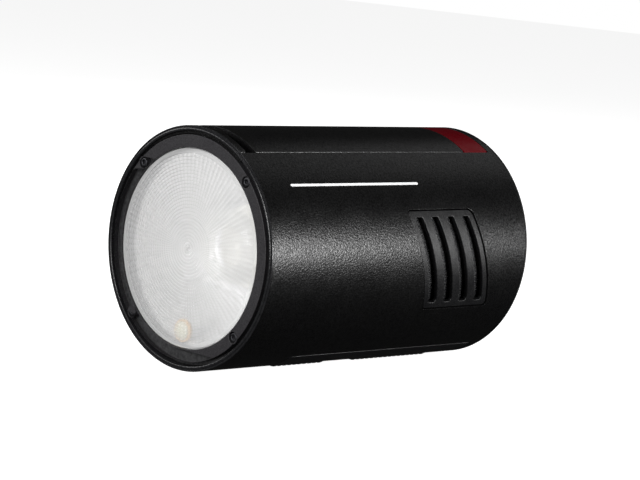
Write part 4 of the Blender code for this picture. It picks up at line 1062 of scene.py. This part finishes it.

# %% [markdown]
# ## The latch spring
# A small coil of steel wire between the bridge and the latch pushes the latch back over the battery's edge.
# Such wire is wound on a mandrel, and its last turn at each end is closed up so that it stands square. The
# coil is drawn loose.

# %% Latch spring
spring_low, spring_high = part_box("latch_spring")
WIRE_R = 0.14 * MM
COIL_R = (spring_high.x - spring_low.x) / 2 - WIRE_R
COIL_TURNS, TURN_STEPS = 4, 24
WIRE_SIDES = 10
CLOSED_END = 0.2
spring_centre = (spring_low + spring_high) / 2
spring_travel = spring_high.y - spring_low.y - 2 * WIRE_R
coil = bmesh.new()
rings = []
for k in range(COIL_TURNS * TURN_STEPS + 1):
    share = k / (COIL_TURNS * TURN_STEPS)
    turn = math.tau * COIL_TURNS * share
    climb = min(max((share - CLOSED_END) / (1 - 2 * CLOSED_END), 0), 1)
    outward = ACROSS * math.cos(turn) + UP * math.sin(turn)
    middle = spring_centre + COIL_R * outward
    middle.y = spring_low.y + WIRE_R + spring_travel * climb
    ring = []
    for side in range(WIRE_SIDES):
        angle = math.tau * side / WIRE_SIDES
        ring.append(coil.verts.new(middle + WIRE_R * (outward * math.cos(angle) + BACK * math.sin(angle))))
    rings.append(ring)
for one, two in zip(rings, rings[1:]):
    for side in range(WIRE_SIDES):
        after = (side + 1) % WIRE_SIDES
        coil.faces.new((one[side], one[after], two[after], two[side]))
coil.faces.new(rings[0])
coil.faces.new(rings[-1])
spring = make_piece("latch_coil", coil, STEEL, "body", "latch_spring")
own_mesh(spring)
print("spring wire", round(2 * WIRE_R / MM, 2), "mm")

# %% [markdown]
# ## Ports
# The rubber flap has a thin raised border and a lip for a fingernail. Its front edge is the living hinge.

# %% Port cover
PORT_IN = BODY_R - WALL + 0.2 * MM
FLAP_R = BODY_R - 0.45 * MM
BORDER_ANGLE, BORDER_WIDE = 1.6, 1.1 * MM
LIP_ANGLE, LIP_PITCH = 4.5, 0.95 * MM
flap_half = math.degrees(math.asin((port_high.z - AXIS_Z) / BODY_R))
flap_from, flap_to = PORT_FROM + GAP, PORT_TO - GAP


def flap_window(half_angle, start, end, corner):
    """An outline on the left side, between two depths."""
    return window(180 - half_angle, 180 + half_angle, start, end, corner)


def flap_piece(name, outlines, inner, outer, edge):
    """One curved piece of the rubber flap."""
    curved_plate(name, outlines, inner, outer, RUBBER, "port_cover", "port_cover", edge=edge)


port_edge = flap_window(flap_half, flap_from, flap_to, 1.4 * MM)
pad = [(u * FLAP_R / BODY_R, v) for u, v in port_edge]
flap_piece("port_flap", [pad], PORT_IN, FLAP_R, 0.2 * MM)
border_in = flap_window(flap_half - BORDER_ANGLE, flap_from + BORDER_WIDE, flap_to - BORDER_WIDE, 0.8 * MM)
flap_piece("port_flap_border", [port_edge, border_in], FLAP_R - 0.1 * MM, BODY_R, 0.15 * MM)
for k in range(3):
    at = flap_to - 4.3 * MM + LIP_PITCH * k
    lip = flap_window(LIP_ANGLE, at, at + 0.5 * MM, 0.2 * MM)
    flap_piece(f"port_flap_grip_{k + 1}", [lip], FLAP_R - 0.1 * MM, BODY_R - 0.05 * MM, 0.12 * MM)
print("port flap", round((PORT_TO - PORT_FROM) / MM, 1), "mm long")

# %% [markdown]
# ## The rear panel
# The panel is a stepped disc: its lip covers the end of the tube and its thicker part fits inside. The
# display window sits in a pocket cut from the front, on a ledge. Everything else comes through plain holes.

# %% Rear panel
PANEL_IN, PANEL_OUT = whole("rear_cover")
LIP_IN = PANEL_OUT - 0.7 * MM
PLUG_R = BODY_R - WALL - GAP
POCKET_IN = PANEL_OUT - 1.9 * MM
BUTTON_NODES = ("mode_button", "group_button", "lamp_button", "sync_button", "test_button")
buttons = {node: face_on(node)[0] for node in BUTTON_NODES}
BUTTON_R = 3.6 * MM
HUB_R = 8.0 * MM
dial_at = (0, face_on("control_dial")[0][1])
(_, glass_up), (glass_wide, glass_tall) = face_on("display_window")
SWITCH_X, SWITCH_UP = face_on("power_switch")[0]
SWITCH_TRAVEL = 3.4 * MM
SWITCH_WIDE, SWITCH_TALL = 3.6 * MM, 5.0 * MM
REAR_SCREW_CIRCLE = BODY_R - 4.7 * MM
angles = enumerate((62, 118, 242, 298))
rear_screws = {f"rear_screw_{k + 1}": on_circle(REAR_SCREW_CIRCLE, angle) for k, angle in angles}

holes = [circle(x, z, BUTTON_R + GAP, 40) for x, z in buttons.values()]
holes.append(circle(*dial_at, HUB_R + GAP, 64))
slot_tall = SWITCH_TALL + SWITCH_TRAVEL + 2 * GAP
holes.append(oblong(SWITCH_X, SWITCH_UP + SWITCH_TRAVEL / 2, SWITCH_WIDE + 2 * GAP, slot_tall, 0.8 * MM))
holes += [circle(x, z, SCREW_HEAD_R + GAP, 32) for x, z in rear_screws.values()]
pocket = oblong(0, glass_up, glass_wide + 2 * GAP, glass_tall + 2 * GAP, 2.2 * MM)
opening = oblong(0, glass_up, glass_wide - 3 * MM, glass_tall - 3 * MM, 1.5 * MM)
rear_layers = [
    ([circle(0, 0, BODY_R, 192), pocket, *holes], LIP_IN, PANEL_OUT),
    ([circle(0, 0, PLUG_R, 192), pocket, *holes], POCKET_IN, LIP_IN + 0.02 * MM),
    ([circle(0, 0, PLUG_R, 192), opening, *holes], PANEL_IN, POCKET_IN + 0.02 * MM),
]
flat_plate("rear_panel", rear_layers, PANEL, "body", "rear_cover", 0.25 * MM)
for node, (x, z) in rear_screws.items():
    screw(node, x, z, depth(node), -1)
print("rear panel with", len(holes), "holes")

# %% [markdown]
# ### Display
# Smoked glass hides the display until it is lit. The picture behind it is a row of level bars and a few
# blocks, enough to read as a display without spelling anything.

# %% Display glass and picture
glass_edge = oblong(0, glass_up, glass_wide, glass_tall, 2.0 * MM)
glass_layers = [([glass_edge], *whole("display_window"))]
flat_plate("display_glass", glass_layers, SMOKED, "body", "display_window", 0.2 * MM)
module_back, module_face = whole("display_module")
backing = oblong(0, glass_up, *face_on("display_module")[1], 0.8 * MM)
module_layers = [([backing], module_back, module_face - 0.3 * MM)]
flat_plate("display_backing", module_layers, DISPLAY, "body", "display_module", 0.2 * MM)


def block(x, up, wide, tall, corner=0.25):
    """A small rectangle of the picture, in millimetres from the middle of the display."""
    return [oblong(x * MM, glass_up + up * MM, wide * MM, tall * MM, corner * MM)]


picture = []
for k in range(9):
    picture.append(block(-10.4 + 2.6 * k, -7.6, 1.7, 1.0 + 0.32 * k, 0.2))
for x, wide in ((-9.6, 3.6), (-4.6, 3.6), (5.6, 3.0), (9.8, 3.0)):
    picture.append(block(x, 8.3, wide, 1.5))
for x, wide in ((-6.6, 9.0), (6.9, 8.6)):
    picture.append(block(x, 1.6, wide, 6.4, 0.6) + block(x, 1.6, wide - 1.4, 5.0, 0.4))
for k in range(3):
    picture.append(block(-8.9 + 2.3 * k, 1.6, 1.5, 3.4, 0.3))
    picture.append(block(6.9, -0.1 + 1.7 * k, 5.4, 0.9, 0.2))
picture_layers = [(shape, module_face - 0.32 * MM, module_face - 0.1 * MM) for shape in picture]
flat_plate("display_picture", picture_layers, INK, "body", "display_module", 0.04 * MM)
print(len(picture), "blocks on the display")

# %% [markdown]
# ### Dial, buttons and switch
# The dial is knurled for grip and slightly dished on top. A small printed dash shows how far it has turned.
# The buttons are dished the other way, so a fingertip finds them, and each has its own plain sign.

# %% Knurled dial and set button
DIAL_R = reach("control_dial")
DIAL_FROM, DIAL_TOP = whole("control_dial")
SET_R = 5.0 * MM
KNURLS = 60
KNURL_DEPTH = 0.42 * MM
hub_profile = [(SET_R + GAP, DIAL_FROM)]
hub_profile += offsets(HUB_R, DIAL_FROM, [(0, 0), (0, 1.4), (1.2, 1.4), (1.2, 2.2), (0, 2.2)])
hub_profile += [(HUB_R, PANEL_OUT + GAP), (DIAL_R - 0.5 * MM, PANEL_OUT + GAP)]
knurled = range(len(hub_profile), len(hub_profile) + 3)
hub_profile += offsets(DIAL_R, PANEL_OUT, [(0, 0.6), (0, 1.6), (0, 2.7), (-0.55, 3.0)])
hub_profile += offsets(DIAL_R, DIAL_TOP, [(-0.65, -0.45), (-0.85, -0.12), (-1.2, 0), (-1.7, -0.04)])
hub_profile += offsets(DIAL_R, DIAL_TOP, [(-2.2, -0.35)])
hub_profile += offsets(SET_R, DIAL_TOP, [(1.3, -0.45), (0.7, -0.25), (0.42, -0.35), (GAP / MM, -0.6)])


def knurl(k, turn, radius, height):
    """Cuts straight knurls into the skirt."""
    if k in knurled:
        wave = 0.5 + 0.5 * math.cos(KNURLS * turn)
        radius -= KNURL_DEPTH * wave**1.5
    return radius, height


turned("knurled_dial", hub_profile, PANEL, "dial", "control_dial", KNURLS * 6, dial_at, reshape=knurl)
dash = oblong(0, dial_at[1] + DIAL_R - 3.6 * MM, 0.7 * MM, 2.3 * MM, 0.3 * MM)
dash_layers = [([dash], DIAL_TOP - 0.5 * MM, DIAL_TOP - 0.28 * MM)]
flat_plate("dial_dash", dash_layers, INK, "dial", "control_dial", 0.03 * MM)

SET_FROM, SET_TOP = whole("set_button")
set_profile = [(0, SET_FROM)] + offsets(SET_R, SET_FROM, [(1.4, 0), (1.4, 0.7), (0, 0.7)])
set_profile += offsets(SET_R, SET_TOP, [(0, -0.6), (-0.08, -0.3), (-0.3, -0.06), (-0.6, 0), (-1.0, -0.06)])
set_profile += offsets(0, SET_TOP, [(2.5, -0.28), (1.1, -0.36), (0, -0.38)])
turned("dished_set_button", set_profile, BUTTON, "set_button", "set_button", 72, dial_at)
ring_mark = [circle(*dial_at, 1.5 * MM, 40), circle(*dial_at, 1.1 * MM, 40)]
ring_layers = [(ring_mark, SET_TOP - 0.42 * MM, SET_TOP - 0.26 * MM)]
flat_plate("set_ring", ring_layers, INK, "set_button", "set_button", 0.03 * MM)
print("dial has", KNURLS, "knurls")

# %% Buttons and their signs
BUTTON_FROM, BUTTON_TOP = whole("mode_button")
SIGN_DEPTHS = (BUTTON_TOP - 0.26 * MM, BUTTON_TOP - 0.1 * MM)
button_profile = [(0, BUTTON_FROM)] + offsets(BUTTON_R, BUTTON_FROM, [(0.6, 0), (0.6, 0.7), (0, 0.7)])
button_profile += offsets(BUTTON_R, BUTTON_TOP, [(0, -0.5), (-0.1, -0.22), (-0.32, -0.04), (-0.55, 0)])
button_profile += offsets(BUTTON_R, BUTTON_TOP, [(-0.9, -0.05)])
button_profile += offsets(0, BUTTON_TOP, [(1.62, -0.16), (0, -0.2)])


def bar(x, z, wide, tall, turn=0.0):
    """A small rectangle of a sign, in millimetres, turned about the sign's middle."""
    corners = oblong(x * MM, z * MM, wide * MM, tall * MM, 0.12 * MM)
    return [tuple(Matrix.Rotation(math.radians(turn), 2) @ Vector(corner)) for corner in corners]


BOLT = [(0.35, 1.5), (-0.95, -0.2), (-0.15, -0.2), (-0.4, -1.5), (0.95, 0.35), (0.15, 0.35)]
DOTS = [(-0.95, -0.5), (0.95, -0.5), (0, 0.85)]
signs = {
    "mode_button": [[bar(0, up, 2.2, 0.42)] for up in (0.75, 0, -0.75)],
    "group_button": [[circle(*dot, 0.42 * MM, 20)] for dot in offsets(0, 0, DOTS)],
    "lamp_button": [[circle(0, 0, 0.72 * MM, 24)]] + [[bar(0, 1.35, 0.3, 0.55, 60 * k)] for k in range(6)],
    "sync_button": [[circle(0, 0, r * MM, 32), circle(0, 0, (r - 0.28) * MM, 32)] for r in (1.45, 0.85)],
    "test_button": [[[(-x * MM, z * MM) for x, z in BOLT]]],
}
for node, (x, z) in buttons.items():
    turned(f"dished_{node}", button_profile, BUTTON, node, node, 56, (x, z))
    layers = []
    for shape in signs[node]:
        moved = [[(px + x, pz + z) for px, pz in outline] for outline in shape]
        layers.append((moved, *SIGN_DEPTHS))
    flat_plate(f"{node}_sign", layers, INK, node, node, 0.02 * MM)
print(len(buttons), "buttons with signs")

# %% Power switch
KNOB_FROM, KNOB_TOP = whole("power_switch")
RIB_STEP = 1.15 * MM
knob = oblong(SWITCH_X, SWITCH_UP, SWITCH_WIDE, SWITCH_TALL, 0.7 * MM)
skirt = oblong(SWITCH_X, SWITCH_UP, SWITCH_WIDE + 2 * MM, SWITCH_TALL + 2 * MM, 0.9 * MM)
switch_layers = [([skirt], KNOB_FROM, KNOB_FROM + 0.75 * MM)]
switch_layers.append(([knob], KNOB_FROM + 0.7 * MM, KNOB_TOP - 0.35 * MM))
for k in range(4):
    rib = oblong(SWITCH_X, SWITCH_UP + (k - 1.5) * RIB_STEP, SWITCH_WIDE - 0.5 * MM, 0.55 * MM, 0.2 * MM)
    switch_layers.append(([rib], KNOB_TOP - 0.4 * MM, KNOB_TOP))
flat_plate("switch_knob", switch_layers, BUTTON, "power_switch", "power_switch", 0.18 * MM)
print("switch slides", SWITCH_TRAVEL / MM, "mm")

# %% [markdown]
# ## Print
# A plain slim line stands where a maker might print a mark. It is pad-printed, so it is a hair thick and
# follows the curve.

# %% Printed line
LINE_LOW, LINE_HIGH = 37.6, 38.9
LINE_FROM, LINE_TO = 13 * MM, 69 * MM
line = window(LINE_LOW, LINE_HIGH, LINE_FROM, LINE_TO, arc(LINE_HIGH - LINE_LOW) / 2)
curved_plate("printed_line", [line], BODY_R - 0.05 * MM, BODY_R + 0.02 * MM, INK, "body", edge=0.01 * MM)
print("line printed")
